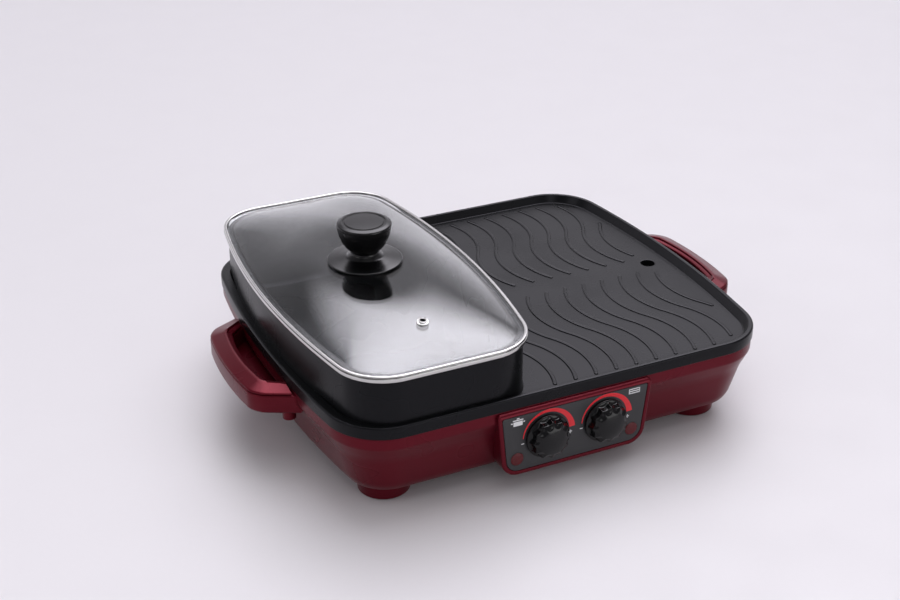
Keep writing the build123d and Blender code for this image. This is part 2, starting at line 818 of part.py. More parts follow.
def make_inlet():
    """Appliance inlet: flange on the pad, body through it and a socket open to the rear."""
    front = Plane.XZ.offset(-inlet_pad_y)
    flange = RectangleRounded(inlet_flange_width, inlet_flange_height, inlet_flange_corner)
    housing = extrude(front * Pos(inlet_x, inlet_z) * flange, -inlet_flange_thickness)
    housing += block(around(inlet_x, inlet_body_width), (inlet_pad_y - inlet_body_depth, inlet_pad_y),
                     around(inlet_z, inlet_body_height))
    mouth = Plane.XZ.offset(-inlet_pad_y - inlet_flange_thickness)
    socket = RectangleRounded(socket_width, socket_height, socket_corner)
    housing -= extrude(mouth * Pos(inlet_x, inlet_z) * socket, socket_depth)
    for x, z in blade_places():
        slit_y = (inlet_pad_y - inlet_body_depth, inlet_pad_y)
        housing -= block(around(x, blade_thickness), slit_y, around(z, blade_width))
    return housing


def blade_places():
    """Places of the three contact blades: two in a row and one above between them."""
    low = inlet_z - blade_offset_z
    high = inlet_z + blade_offset_z
    return [(inlet_x - blade_offset_x, low), (inlet_x, high), (inlet_x + blade_offset_x, low)]


def make_blades():
    """Contact blades in the inlet, with tails behind the housing."""
    back = inlet_pad_y - inlet_body_depth - blade_tail
    front = inlet_pad_y + inlet_flange_thickness - socket_depth + blade_length
    return [block(around(x, blade_thickness), (back, front), around(z, blade_width))
            for x, z in blade_places()]


def dome_level(step):
    """Half width, half depth and rise of the dome at one step, on a parabola from its foot to its flat top."""
    foot_width = pot_width / 2 + lid_overhang - glass_flange
    foot_depth = pot_depth / 2 + lid_overhang - glass_flange
    part = step / dome_steps
    share = 1 - (1 - (lid_disc_radius + dome_seat) / foot_width) * part
    return foot_width * share, foot_depth * share, dome_rise * (1 - (1 - part) ** 2)


def make_dome(foot_z):
    """Solid under the dome of the lid."""
    foot_depth = dome_level(0)[1]
    levels = []
    for step in range(dome_steps + 1):
        half_width, half_depth, rise = dome_level(step)
        share = half_depth / foot_depth
        corner = (pot_corner_radius + lid_overhang - glass_flange) * share
        face = bowed_outline(half_width, half_depth, pot_side_bow * share, corner)
        levels.append(Pos(pot_centre_x, 0, foot_z + rise) * face)
    return loft(levels, ruled=True)


def vent_tilt():
    """Angle of the dome's slope at the vent."""
    low, high = dome_level(vent_step), dome_level(vent_step + 1)
    return math.atan2(high[2] - low[2], low[1] - high[1])


def on_slope(shape):
    """Shape moved from the origin to the vent's place on the slope of the dome."""
    down = vent_flange_radius + vent_dome_margin
    half_depth, rise = dome_level(vent_step)[1:]
    z = glass_edge_z + glass_thickness + rise + down * math.tan(vent_tilt())
    return Pos(pot_centre_x, down - half_depth, z) * Rot(math.degrees(vent_tilt()), 0, 0) * shape


def make_lid_glass():
    """Glass lid: flat edge in the band, then a shallow dome with a flat top and two holes."""
    edge_top = glass_edge_z + glass_thickness
    glass = column(lid_outline, band_sheet + glass_edge_fit, glass_edge_z, edge_top)
    glass += make_dome(edge_top)
    glass -= make_dome(glass_edge_z)
    glass -= upright(lid_screw_radius + lid_screw_fit, glass_edge_z, glass_top_z, pot_centre_x)
    return glass - on_slope(upright(vent_tube_radius + vent_fit, -2 * glass_thickness, glass_thickness))


def make_lid_rim():
    """Metal band folded round the edge of the glass."""
    band = column(lid_outline, 0, band_bottom_z, band_top_z)
    band -= column(lid_outline, band_sheet + glass_edge_fit, glass_edge_z, glass_edge_z + glass_thickness)
    return band - column(lid_outline, band_lip, band_bottom_z, band_top_z)


def make_lid_knob_base():
    """Skirt of the lid knob: a wide disc that sweeps up into the neck."""
    edge_z = glass_top_z + lid_disc_edge
    swept = lid_disc_radius - lid_neck_radius
    rise = lid_neck_top_z - edge_z
    profile = [(0, glass_top_z), (lid_disc_radius, glass_top_z), (lid_disc_radius, edge_z)]
    for along, up in ((0.45, 0.08), (0.72, 0.17), (0.9, 0.33), (1.0, 0.6), (1.0, 1.0)):
        profile.append((lid_disc_radius - along * swept, edge_z + up * rise))
    profile.append((0, lid_neck_top_z))
    skirt = Pos(pot_centre_x, 0, 0) * turned(profile)
    return skirt - upright(lid_screw_radius + lid_screw_fit, glass_top_z, lid_neck_top_z, pot_centre_x)


def make_lid_knob():
    """Grip of the lid knob: a bowl that widens upwards to a rounded top with a ring groove."""
    top = lid_knob_top_z
    widest_z = top - 1.6 * lid_knob_round
    rise = widest_z - lid_neck_top_z
    profile = [(0, lid_neck_top_z), (lid_neck_radius, lid_neck_top_z)]
    for along, up in ((0.45, 0.18), (0.75, 0.42), (0.93, 0.70), (1.0, 1.0)):
        reach = lid_neck_radius + along * (lid_knob_radius - lid_neck_radius)
        profile.append((reach, lid_neck_top_z + up * rise))
    profile += [(lid_knob_radius - 0.3 * lid_knob_round, top - 0.6 * lid_knob_round),
                (lid_knob_radius - lid_knob_round, top), (0, top)]
    knob = turned(profile)
    groove = upright(lid_groove_radius + lid_groove_width / 2, top - lid_groove_depth, top)
    groove -= upright(lid_groove_radius - lid_groove_width / 2, top - lid_groove_depth, top)
    knob = Pos(pot_centre_x, 0, 0) * (knob - groove)
    return knob - upright(lid_screw_radius, lid_neck_top_z, lid_neck_top_z + lid_screw_bite, pot_centre_x)


def make_lid_washer():
    """Soft washer between the glass and the screw head."""
    top = glass_top_z - glass_thickness
    bottom = top - lid_washer_thickness
    washer = upright(lid_washer_radius, bottom, top, pot_centre_x)
    return washer - upright(lid_screw_radius + lid_screw_fit, bottom, top, pot_centre_x)


def make_lid_screw():
    """Screw from under the glass into the knob."""
    head_top = glass_top_z - glass_thickness - lid_washer_thickness
    head = upright(lid_screw_head_radius, head_top - lid_screw_head_height, head_top, pot_centre_x)
    return head + upright(lid_screw_radius, head_top, lid_neck_top_z + lid_screw_bite, pot_centre_x)


def make_lid_vent():
    """Steam vent: a flanged grommet through the slope of the glass."""
    low = -glass_thickness * math.cos(vent_tilt())
    bottom = low - vent_flange_thickness
    vent = upright(vent_tube_radius, low, 0)
    vent += upright(vent_flange_radius, 0, vent_flange_thickness)
    vent += upright(vent_flange_radius, bottom, low)
    return on_slope(vent - upright(vent_bore_radius, bottom, vent_flange_thickness))


def make_all():
    """Every piece by its node name."""
    envelope = base_envelope()
    handle_top = make_handle_top(envelope)
    handle_bottom = make_handle_bottom(envelope)
    clamps = make_clamps(grill_lanes(), plate_bottom_z) + make_clamps(pot_lanes(), pot_bottom_z)
    return {
        "base_shell": make_base(),
        "heat_shield": make_shield(),
        "pan": make_pan(),
        "left_handle_top": mirrored(handle_top),
        "left_handle_bottom": mirrored(handle_bottom),
        "right_handle_top": handle_top,
        "right_handle_bottom": handle_bottom,
        "handle_screws": make_handle_screws(),
        "panel_bezel": make_bezel(envelope),
        "panel_plate": make_panel_plate(),
        "pot_knob": make_knob(-knob_offset_x),
        "grill_knob": make_knob(knob_offset_x),
        "pot_knob_shaft": make_shaft(-knob_offset_x),
        "grill_knob_shaft": make_shaft(knob_offset_x),
        "pot_regulator": make_regulator(-knob_offset_x),
        "grill_regulator": make_regulator(knob_offset_x),
        "regulator_nuts": make_nuts(),
        "pot_lens": make_lens(-lamp_offset_x),
        "grill_lens": make_lens(lamp_offset_x),
        "pot_lamp": make_lamp(-lamp_offset_x),
        "grill_lamp": make_lamp(lamp_offset_x),
        "pot_element": make_element(pot_lanes(), pot_bottom_z),
        "grill_element": make_element(grill_lanes(), plate_bottom_z),
        "element_clamps": clamps,
        "inlet_housing": make_inlet(),
        "inlet_pins": make_blades(),
        "foot_front_left": make_foot(-1, -1),
        "foot_front_right": make_foot(1, -1),
        "foot_rear_left": make_foot(-1, 1),
        "foot_rear_right": make_foot(1, 1),
        "foot_pads": make_pads(),
        "pan_screws": make_pan_screws(),
        "drain_tube": make_drain_tube(),
        "drip_tray": make_tray(),
        "tray_rails": make_rails(),
        "lid_rim": make_lid_rim(),
        "lid_glass": make_lid_glass(),
        "lid_knob": make_lid_knob(),
        "lid_knob_base": make_lid_knob_base(),
        "lid_knob_screw": make_lid_screw(),
        "lid_washer": make_lid_washer(),
        "lid_vent": make_lid_vent(),
    }


os.makedirs("parts", exist_ok=True)
for node, shape in make_all().items():
    solids = shape if isinstance(shape, list) else shape.solids()
    placed = [Pos(0, centre_shift, 0) * solid for solid in solids]
    export_step(placed[0] if len(placed) == 1 else Compound(children=placed), f"parts/{node}.step")
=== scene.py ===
"""Electric grill and hot pot: visible surfaces, materials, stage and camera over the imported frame."""

import json
import math

import bpy
import numpy as np
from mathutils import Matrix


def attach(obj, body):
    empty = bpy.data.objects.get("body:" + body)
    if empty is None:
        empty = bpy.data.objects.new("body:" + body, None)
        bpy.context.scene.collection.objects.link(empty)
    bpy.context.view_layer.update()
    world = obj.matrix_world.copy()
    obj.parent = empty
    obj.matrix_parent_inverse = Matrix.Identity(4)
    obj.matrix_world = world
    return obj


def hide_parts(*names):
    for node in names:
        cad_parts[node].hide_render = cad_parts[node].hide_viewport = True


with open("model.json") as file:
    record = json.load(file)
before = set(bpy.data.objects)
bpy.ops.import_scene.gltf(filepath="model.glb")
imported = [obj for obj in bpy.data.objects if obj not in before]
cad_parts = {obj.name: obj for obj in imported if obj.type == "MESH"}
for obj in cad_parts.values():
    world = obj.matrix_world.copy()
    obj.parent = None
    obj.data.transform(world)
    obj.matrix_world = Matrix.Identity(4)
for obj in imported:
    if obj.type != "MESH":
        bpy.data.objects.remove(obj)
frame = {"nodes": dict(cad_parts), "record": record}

bl_info = {
    "name": "Electric grill and hot pot",
    "version": (1, 0, 0),
    "blender": (4, 5, 0),
    "location": "View3D > Sidebar > Grill",
    "description": "Builds an electric grill and hot pot with its stage",
    "category": "Object",
}

SIDES = (-1, 1)
CONTROLS = (("pot", -1), ("grill", 1))


def linear(hex_colour):
    """Linear RGB of an sRGB hex colour."""
    channels = [int(hex_colour[i:i + 2], 16) / 255 for i in (1, 3, 5)]
    return [c / 12.92 if c <= 0.04045 else ((c + 0.055) / 1.055) ** 2.4 for c in channels]


def length(name, description, default):
    """Length property in metres."""
    return bpy.props.FloatProperty(
        name=name, description=description, default=default, unit="LENGTH", subtype="DISTANCE", precision=5)


def degrees(name, description, default):
    """Angle property from degrees."""
    return bpy.props.FloatProperty(
        name=name, description=description, default=math.radians(default), unit="ROTATION", subtype="ANGLE")


def number(name, description, default):
    """Property without a unit."""
    return bpy.props.FloatProperty(name=name, description=description, default=default)


def colour(name, description, hex_colour):
    """Colour property from a hex colour."""
    return bpy.props.FloatVectorProperty(
        name=name, description=description, default=linear(hex_colour), subtype="COLOR", size=3, min=0, max=1)


class PanSizes(bpy.types.PropertyGroup):
    """Sizes of the cast pan, shared by the base under it."""
    half_length: length("Half length", "Middle of the pan to the middle of a short side", 0.183)
    half_depth: length("Half depth", "Middle of the pan to a long side", 0.155)
    bow: length("Bow", "How far the short sides bulge", 0.014)
    corner: length("Corner", "Radius of the outer corners", 0.044)
    centre_y: length("Centre", "Where the middle of the pan lies along Y", 0.0081)
    skirt_z: length("Skirt", "Lower edge of the rim", 0.0677)
    rim_z: length("Rim", "Top of the rim", 0.0772)
    plate_z: length("Plate", "Top of the grill plate", 0.0704)
    land: length("Land", "Width of the rim's top", 0.0035)
    slope: length("Slope", "Width of the rim's inner slope", 0.003)
    drain_x: length("Drain", "Where the drain lies along X", 0.159)
    drain_radius: length("Drain radius", "Radius of the drain", 0.00575)


class PotSizes(bpy.types.PropertyGroup):
    """Sizes of the pot."""
    centre_x: length("Centre", "Where the middle of the pot lies along X", -0.0963)
    half_length: length("Half width", "Middle of the pot to its side", 0.0812)
    half_depth: length("Half depth", "Middle of the pot to its front", 0.151)
    bow: length("Bow", "How far the sides bulge", 0.018)
    corner: length("Corner", "Radius of the corners", 0.036)
    lip_z: length("Lip", "Top of the pot", 0.1104)
    floor_z: length("Floor", "Inside floor of the pot", 0.048)


class RibSizes(bpy.types.PropertyGroup):
    """Sizes of the ribs on the grill plate."""
    first_x: length("First", "Line of the first rib", -0.0124)
    pitch: length("Pitch", "Distance from rib to rib", 0.0172)
    count: bpy.props.IntProperty(name="Count", description="Ribs in each set", default=11)
    swing: length("Swing", "Height of each arc of a rib", 0.0096)
    half_wave: length("Half wave", "Chord of each arc of a rib", 0.069)
    channel: length("Channel", "Half width of the channel between the sets", 0.010)
    width: length("Width", "Width of a rib at its foot", 0.0034)
    height: length("Height", "Height of a rib", 0.0007)
    edge: number("Edge", "Share of a rib's width that slopes", 0.36)
    margin: length("Margin", "Distance of the rib ends from rim and pot", 0.0067)
    drain_margin: length("Drain margin", "Distance of the ribs from the drain", 0.011)


class LidSizes(bpy.types.PropertyGroup):
    """Sizes of the lid."""
    overhang: length("Overhang", "How far the band reaches past the pot", 0.0025)
    band_z: length("Band bottom", "Lower edge of the band", 0.1107)
    band_height: length("Band height", "Height of the band", 0.0056)
    band_lip: length("Band lip", "Width of the band's top", 0.0024)
    glass_thickness: length("Glass", "Thickness of the glass", 0.004)
    disc_radius: length("Disc", "Radius of the knob's disc", 0.0287)
    neck_radius: length("Neck", "Radius of the knob's neck", 0.0105)
    neck_z: length("Neck top", "Where the bowl of the grip starts", 0.1365)
    grip_z: length("Grip", "Seam between neck and grip", 0.141)
    knob_radius: length("Knob", "Radius of the knob's grip", 0.0209)
    knob_edge: length("Knob edge", "Height of the knob's rounded edge", 0.003)
    knob_z: length("Knob top", "Top of the knob", 0.159)
    flange: length("Flange", "Width of the glass's flat edge", 0.0065)
    dome_rise: length("Dome", "Rise of the dome", 0.0115)
    dome_seat: length("Seat", "Flat margin round the knob's disc", 0.0015)
    vent_y: length("Vent", "Distance of the vent from the knob", 0.1041)
    vent_z: length("Vent height", "Height of the glass at the vent", 0.12388)
    vent_tilt: degrees("Vent tilt", "Slope of the glass at the vent", 7.6)


class ControlSizes(bpy.types.PropertyGroup):
    """Sizes of the control panel and its knobs."""
    face: length("Face", "Front of the frame from the middle of the pan", 0.158)
    plate_face: length("Plate face", "Front of the fascia from the middle of the pan", 0.1577)
    top: length("Top half width", "Half width of the panel at its top", 0.0635)
    bottom: length("Bottom half width", "Half width of the panel at its bottom", 0.0585)
    top_z: length("Top", "Upper edge of the panel", 0.067)
    bottom_z: length("Bottom", "Lower edge of the panel", 0.0137)
    corner: length("Corner", "Radius of the lower corners", 0.014)
    frame_width: length("Frame", "Width of the frame", 0.0034)
    knob_x: length("Knob place", "Distance of a knob from the middle", 0.024)
    knob_z: length("Knob height", "Height of the knobs' axis", 0.042)
    knob_back: length("Knob back", "Back of a knob from the middle of the pan", 0.1582)
    knob_depth: length("Knob depth", "Depth of a knob", 0.013)
    cap: length("Cap", "Radius of the ball that a knob's front is part of", 0.027)
    flutes: bpy.props.IntProperty(name="Flutes", description="Flutes round a knob", default=12)
    flute_depth: length("Flute depth", "Depth of a flute", 0.0015)
    lens_x: length("Lens place", "Distance of a lens from the middle", 0.0475)
    lens_z: length("Lens height", "Height of the lenses", 0.0275)
    lens_radius: length("Lens", "Radius of a lens", 0.0052)


class HandleSizes(bpy.types.PropertyGroup):
    """Sizes of the handles."""
    edge: length("Edge", "Outer end of a handle from the middle", 0.212)
    root: length("Root", "Where the arms start inside the base wall", 0.161)
    shown_root: length("Shown root", "Where the shown arms start", 0.174)
    rim_gap: length("Rim gap", "Distance of the cover from the rim", 0.001)
    under_rim: length("Under rim", "How far the lower half reaches under the rim", 0.004)
    root_half: length("Root half width", "Half width at the root", 0.075)
    end_half: length("End half width", "Half width at the outer end", 0.052)
    bow: length("Bow", "Bulge of the outer end", 0.0045)
    bar: length("Bar", "Width of the bar", 0.012)
    arm_root: length("Arm root", "Width of an arm at its root", 0.0055)
    arm_end: length("Arm end", "Width of an arm at the bar", 0.010)
    corner: length("Corner", "Radius of the outer corners", 0.016)
    gap_corner: length("Gap corner", "Radius of the corners of the finger recess", 0.008)
    bottom_z: length("Bottom", "Underside of a handle", 0.049)
    floor: length("Floor", "Thickness of the recess floor", 0.002)
    seam_z: length("Seam", "Where the halves meet", 0.0642)
    edge_z: length("Edge top", "Outer edge of the cover's top", 0.0655)
    lip_z: length("Lip", "Inner edge of the cover's top", 0.0695)
    boss_x: length("Boss", "Where the screw bosses lie along X", 0.1825)
    boss_y: length("Boss offset", "Where the screw bosses lie along Y", 0.0578)


class Colours(bpy.types.PropertyGroup):
    """Colours of the materials."""
    burgundy: colour("Burgundy", "Base, handles and panel frame", "#681021")
    burgundy_deep: colour("Deep burgundy", "Darker flakes of the burgundy plastic", "#500b17")
    nonstick: colour("Non-stick", "Coating of the pan", "#0c0d0e")
    black: colour("Black", "Knobs", "#050506")
    fascia: colour("Fascia", "Front plate of the controls", "#29292b")
    ink_red: colour("Red ink", "Printed arcs", "#e6202d")
    ink_white: colour("White ink", "Printed signs", "#e9e9ea")
    floor: colour("Floor", "Table top", "#e0dee0")
    backdrop: colour("Backdrop", "Wall behind the table", "#f0eef3")
    studio: colour("Studio", "Light from all round", "#eeebf3")


class StageSettings(bpy.types.PropertyGroup):
    """Camera and rear soft box of the stage."""
    azimuth: degrees("Azimuth", "Turn of the camera", -25.62)
    elevation: degrees("Elevation", "Rise of the camera", 27.43)
    distance: length("Distance", "Camera to its target", 1.1708)
    target: bpy.props.FloatVectorProperty(
        name="Target", description="Point the camera looks at", size=3, subtype="TRANSLATION", unit="LENGTH",
        default=(-0.0266, 0.0049, 0.07865))
    lens: number("Lens", "Focal length in millimetres", 59.5)
    box_turn: degrees("Box turn", "Turn of the rear soft box from +Y", 40)
    box_rise: degrees("Box rise", "Rise of the rear soft box", 61)
    box_spread: degrees("Box spread", "Half angle of the rear soft box", 36.5)
    box_strength: number("Box strength", "Radiance of the rear soft box", 3.2)
    box_shine: number("Box shine", "How much brighter the rear soft box is in reflections", 2.35)


# Looks by material slot or name: material and making, base, accent, grain, roughness, spread, other inputs
LOOKS = {
    # Base, handles, feet, panel frame: flakes give a soft metallic sheen, drawn coarse at 0.6 mm to show
    "burgundy_plastic": (
        ("Burgundy metallic plastic, injection moulded", "burgundy", "burgundy_deep", 0.0006, 0.29, 0.03),
        {"bump": 1e-5, "Metallic": 0.4, "Specular_IOR_Level": 0.17}),
    # Pan and pot: sprayed grit breaks up a dull sheen, drawn coarse at 0.9 mm to show
    "nonstick_aluminium": (
        ("Cast aluminium, sprayed black non-stick", "nonstick", (1.4, 0.001), 0.0009, 0.28, 0.04),
        {"bump": 2e-5, "Specular_IOR_Level": 0.15, "Specular_Tint": (0.92, 0.90, 1.0, 1.0)}),
    # Control knobs: polishing gives sharp, narrow highlights, with faint clouds of 2 mm
    "black_gloss_plastic": (
        ("Black phenolic plastic, polished", "black", (1.6, 0), 0.002, 0.15, 0.03),
        {"Specular_IOR_Level": 0.3}),
    # Lid knob: the texture of the mould spreads the highlights, drawn coarse at 1 mm to show
    "satin_black": (
        ("Black phenolic plastic, moulded satin", "black", (1.6, 0), 0.001, 0.24, 0.03),
        {"bump": 1e-5, "Specular_IOR_Level": 0.35}),
    # Band and vent of the lid, drip tray: a bright shine with level rolling lines about 1.2 mm long
    "stainless": (
        ("Stainless steel, rolled and polished", "#d6d5d3", "#c2c1c0", 0.0012, 0.16, 0.03),
        {"stretch": (1, 1, 30), "Metallic": 1.0}),
    # Screws, nuts, shafts and clamps: tumbling leaves a patchy grey shine with spots of 1.5 mm
    "plated_steel": (
        ("Zinc plated steel, tumbled", "#b4b5b8", "#8f9094", 0.0015, 0.32, 0.06), {"Metallic": 1.0}),
    # Heat shield and drain tube: rolling lines along X, about 0.9 mm long, give a soft drawn shine
    "sheet_aluminium": (
        ("Aluminium sheet, mill rolled", "#c9cbcd", "#b1b3b6", 0.0009, 0.34, 0.05),
        {"stretch": (1, 25, 1), "Metallic": 1.0}),
    # Heating elements: oxide leaves dull, dark patches of 3 mm
    "element_sheath": (
        ("Heater sheath steel, drawn and oxidised", "#4a4644", "#2f2c2b", 0.003, 0.55, 0.08),
        {"Metallic": 0.8}),
    # Pins of the inlet: a warm yellow shine with clouds of 2 mm
    "brass": (("Brass blades, stamped", "#c9a24c", "#b18a39", 0.002, 0.3, 0.05), {"Metallic": 1.0}),
    # Foot pads and washer: a soft, dull black, its grit drawn coarse at 0.8 mm to show
    "rubber": (("Black rubber, moulded", "#1c1c1c", "#262626", 0.0008, 0.8, 0.06), {"bump": 2e-5}),
    # Inlet, regulators and rails: the mould leaves a flat black, its grit drawn coarse at 0.7 mm.
    # The same black is painted shade in the gaps round the lenses and in the vent's bore.
    "black_plastic": (
        ("Black plastic, moulded matt", "#1d1d1e", "#29292a", 0.0007, 0.55, 0.05), {"bump": 2e-5}),
    # Front plate of the controls: an even grey without glare, its mould texture drawn coarse at 0.5 mm
    "fascia_plastic": (
        ("Grey plastic fascia, moulded satin", "fascia", (1.25, 0), 0.0005, 0.5, 0.04), {"bump": 1e-5}),
    # Indicator lenses: a deep red that lets a little light in, with small highlights
    "red_lens": (
        ("Red acrylic, moulded clear", "#52080f", "#600d15", 0.002, 0.2, 0.02),
        {"Transmission_Weight": 0.15, "Specular_IOR_Level": 0.3}),
    # Indicator lamps: thin glass with a warm tint, more than half of it seen through
    "lamp_glass": (
        ("Lamp glass, blown", "#d9a58a", "#c98f70", 0.003, 0.1, 0.02), {"Transmission_Weight": 0.6}),
    # Dome of the lid: clear, with sharp reflections and hardly any tint
    "lid_glass": (
        ("Soda-lime glass, tempered", "#eef1f2", "#f3f5f6", 0.02, 0.02, 0.01),
        {"Transmission_Weight": 1.0, "IOR": 1.5}),
    # Arcs on the fascia: a flat, dull red, the screen's grain drawn coarse at 0.4 mm to show
    "red_ink": (("Red ink, screen printed", "ink_red", (0.9, 0), 0.0004, 0.5, 0.05), {}),
    # Signs on the fascia: a flat, dull white, the screen's grain drawn coarse at 0.4 mm to show
    "white_ink": (("White ink, screen printed", "ink_white", (0.9, 0), 0.0004, 0.5, 0.05), {}),
    # Table top: a plain, dull white with hardly visible clouds of 4 mm
    "laminate": (("White laminate, pressed", "floor", (0.985, 0), 0.004, 0.5, 0.05), {}),
}


def sizes(name):
    """Property group of the scene."""
    return getattr(bpy.context.scene, "grill_" + name)


def rounded(points, radii, steps=6):
    """Polyline whose inner corners are arcs: at corner P with radius r the arc touches both sides at
    distance r / tan(a / 2) from P, where a is the angle between them."""
    points = np.asarray(points, float)
    path = [points[0]]
    for before, corner, after, radius in zip(points, points[1:], points[2:], radii):
        u = (before - corner) / np.linalg.norm(before - corner)
        v = (after - corner) / np.linalg.norm(after - corner)
        angle = math.acos(float(np.clip(u @ v, -1, 1)))
        if radius <= 0 or math.pi - angle < 0.01:
            path.append(corner)
            continue
        reach = radius / math.tan(angle / 2)
        middle = corner + (u + v) / np.linalg.norm(u + v) * radius / math.sin(angle / 2)
        first, last = corner + u * reach - middle, corner + v * reach - middle
        sweep = math.pi - angle
        for t in np.linspace(0, 1, steps + 1):
            swung = first * math.sin((1 - t) * sweep) + last * math.sin(t * sweep)
            path.append(middle + swung / math.sin(sweep))
    path.append(points[-1])
    return np.array(path)


def respaced(line, count, trim=0.0):
    """Plan line with count points evenly spaced along it, shortened by trim at both ends."""
    run = np.concatenate([[0], np.cumsum(np.linalg.norm(np.diff(line, axis=0), axis=1))])
    at = np.linspace(trim, run[-1] - trim, count)
    return np.stack([np.interp(at, run, line[:, 0]), np.interp(at, run, line[:, 1])], 1)


def lifted(line, height):
    """Points of a plan line at one height."""
    return np.column_stack([line, np.full(len(line), height)])


def bowed(shape, inset):
    """Closed outline with straight front and back, sides on arcs of radius R = (d * d + b * b) / (2 * b)
    and corner arcs that touch both, drawn in by inset; counter-clockwise from the right side."""
    half, depth = shape["half_length"] - inset, shape["half_depth"] - inset
    bow, corner = shape["bow"], max(shape["corner"] - inset, 0.008)
    big = (depth * depth + bow * bow) / (2 * bow)
    centre_y = depth - corner
    centre_x = half - big + math.sqrt((big - corner) ** 2 - centre_y ** 2)
    lean = math.atan2(centre_y, centre_x - (half - big))
    side = np.linspace(0, lean, 25)[:-1]
    turn = np.linspace(lean, math.pi / 2, 19)[:-1]
    along = np.linspace(centre_x, -centre_x, 41)[:-1]
    quarter = np.concatenate([
        np.stack([half - big + big * np.cos(side), big * np.sin(side)], 1),
        np.stack([centre_x + corner * np.cos(turn), centre_y + corner * np.sin(turn)], 1)])
    upper = np.concatenate([quarter, lifted(along, depth), (quarter * (-1, 1))[::-1]])
    loop = np.concatenate([upper, (upper * (1, -1))[::-1]])
    keep = np.linalg.norm(loop - np.roll(loop, 1, 0), axis=1) > 1e-7
    return loop[keep] + (shape["x"], shape["y"])


def rings(shape, profile):
    """Surface S(i, t): outline t of the shape, drawn in by the profile's inset i and lifted to its height."""
    return np.array([lifted(bowed(shape, inset), height) for inset, height in profile])


def to_middle(ring, steps=8):
    """Rows that shrink one ring to its middle: M + f * (ring - M) for f from 1 to nearly 0."""
    middle = ring.mean(0)
    return np.array([middle + f * (ring - middle) for f in np.linspace(1, 0.002, steps)[1:]])


def turned(profile, centre, facing=False, count=96, flute=None):
    """Surface of revolution S(i, a) = (r cos a, r sin a, h); facing turns h towards the front.
    flute(i, a) is taken off the radius."""
    angles = np.linspace(0, 2 * math.pi, count, endpoint=False)
    rows = []
    for index, (radius, height) in enumerate(profile):
        r = np.full(count, max(radius, 2e-5))
        if flute:
            r = r - flute(index, angles)
        rows.append(lifted(np.stack([r * np.cos(angles), r * np.sin(angles)], 1), height))
    rows = np.array(rows)
    if facing:
        rows = np.stack([rows[..., 0], -rows[..., 2], rows[..., 1]], -1)
    return rows + np.asarray(centre)


def add(tree, kind, links=(), **settings):
    """Adds a node; links maps its inputs to other outputs or constants."""
    node = tree.nodes.new(kind)
    for key, value in settings.items():
        setattr(node, key, value)
    for key, value in dict(links).items():
        if isinstance(value, bpy.types.NodeSocket):
            tree.links.new(value, node.inputs[key])
        else:
            node.inputs[key].default_value = value
    return node


def surface(name, base, accent, grain, rough, spread, bump=0.0, stretch=(1, 1, 1), **principled):
    """Procedural material: noise of grain metres mixes base and accent, varies the roughness by spread
    and lifts the surface by bump metres; stretch draws the grain out."""
    material = bpy.data.materials.new(name)
    material.use_nodes = True
    tree = material.node_tree
    tree.nodes.clear()
    place = add(tree, "ShaderNodeTexCoord").outputs["Object"]
    drawn = add(tree, "ShaderNodeVectorMath", {0: place, 1: stretch}, operation="MULTIPLY").outputs[0]
    fine = add(tree, "ShaderNodeTexNoise", {"Vector": drawn, "Scale": 1 / grain, "Detail": 3.0}).outputs[0]
    wide = add(tree, "ShaderNodeTexNoise", {"Vector": place, "Scale": 18.0, "Detail": 2.0}).outputs[0]
    tint = add(tree, "ShaderNodeMix", {0: fine, 6: (*base, 1), 7: (*accent, 1)}, data_type="RGBA").outputs[2]
    uneven = add(tree, "ShaderNodeMapRange", {0: wide, 1: 0.3, 2: 0.7, 3: rough - spread, 4: rough + spread})
    inputs = {"Base Color": tint, "Roughness": uneven.outputs[0]}
    if bump:
        relief = add(tree, "ShaderNodeBump", {"Height": fine, "Strength": 0.6, "Distance": bump})
        inputs["Normal"] = relief.outputs[0]
    inputs.update({key.replace("_", " "): value for key, value in principled.items()})
    shader = add(tree, "ShaderNodeBsdfPrincipled", inputs).outputs[0]
    add(tree, "ShaderNodeOutputMaterial", {"Surface": shader})
    return material


def tone(value, base=()):
    """Linear colour from a hex colour, a colour of the scene or a pair that scales and lifts base."""
    if isinstance(value, tuple):
        return [c * value[0] + value[1] for c in base]
    return linear(value) if value.startswith("#") else getattr(sizes("colours"), value)


def finish(look):
    """Material of one look, made when it is first asked for."""
    (name, base, accent, *grain), more = LOOKS[look]
    base = tone(base)
    return bpy.data.materials.get(name) or surface(name, base, tone(accent, base), *grain, **more)


def mesh_piece(name, patches, body, nodes, slot, look=None):
    """Object from grids of points; each patch is a grid and whether its rows are closed, and a lone grid has
    closed rows. Its material is that of the slot or a look of its own."""
    if isinstance(patches, np.ndarray):
        patches = [(patches, True)]
    points, faces, start = [], [], 0
    for rows, closed in patches:
        m, n = rows.shape[:2]
        index = start + np.arange(m * n).reshape(m, n)
        if closed:
            index = np.concatenate([index, index[:, :1]], 1)
        quads = np.stack([index[:-1, :-1], index[:-1, 1:], index[1:, 1:], index[1:, :-1]], -1)
        faces.append(quads.reshape(-1, 4))
        points.append(rows.reshape(-1, 3))
        start += m * n
    mesh = bpy.data.meshes.new(name)
    mesh.from_pydata(np.concatenate(points).tolist(), [], np.concatenate(faces).tolist())
    mesh.polygons.foreach_set("use_smooth", np.ones(len(mesh.polygons), bool))
    mesh.update()
    piece = bpy.data.objects.new(name, mesh)
    bpy.context.scene.collection.objects.link(piece)
    mesh.materials.append(finish(look or slot))
    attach(piece, body)
    if nodes:
        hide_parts(*nodes)


def pan_shape():
    """Outline of the pan's rim."""
    p = sizes("pan")
    return {"half_length": p.half_length, "half_depth": p.half_depth, "bow": p.bow, "corner": p.corner,
            "x": 0.0, "y": p.centre_y}


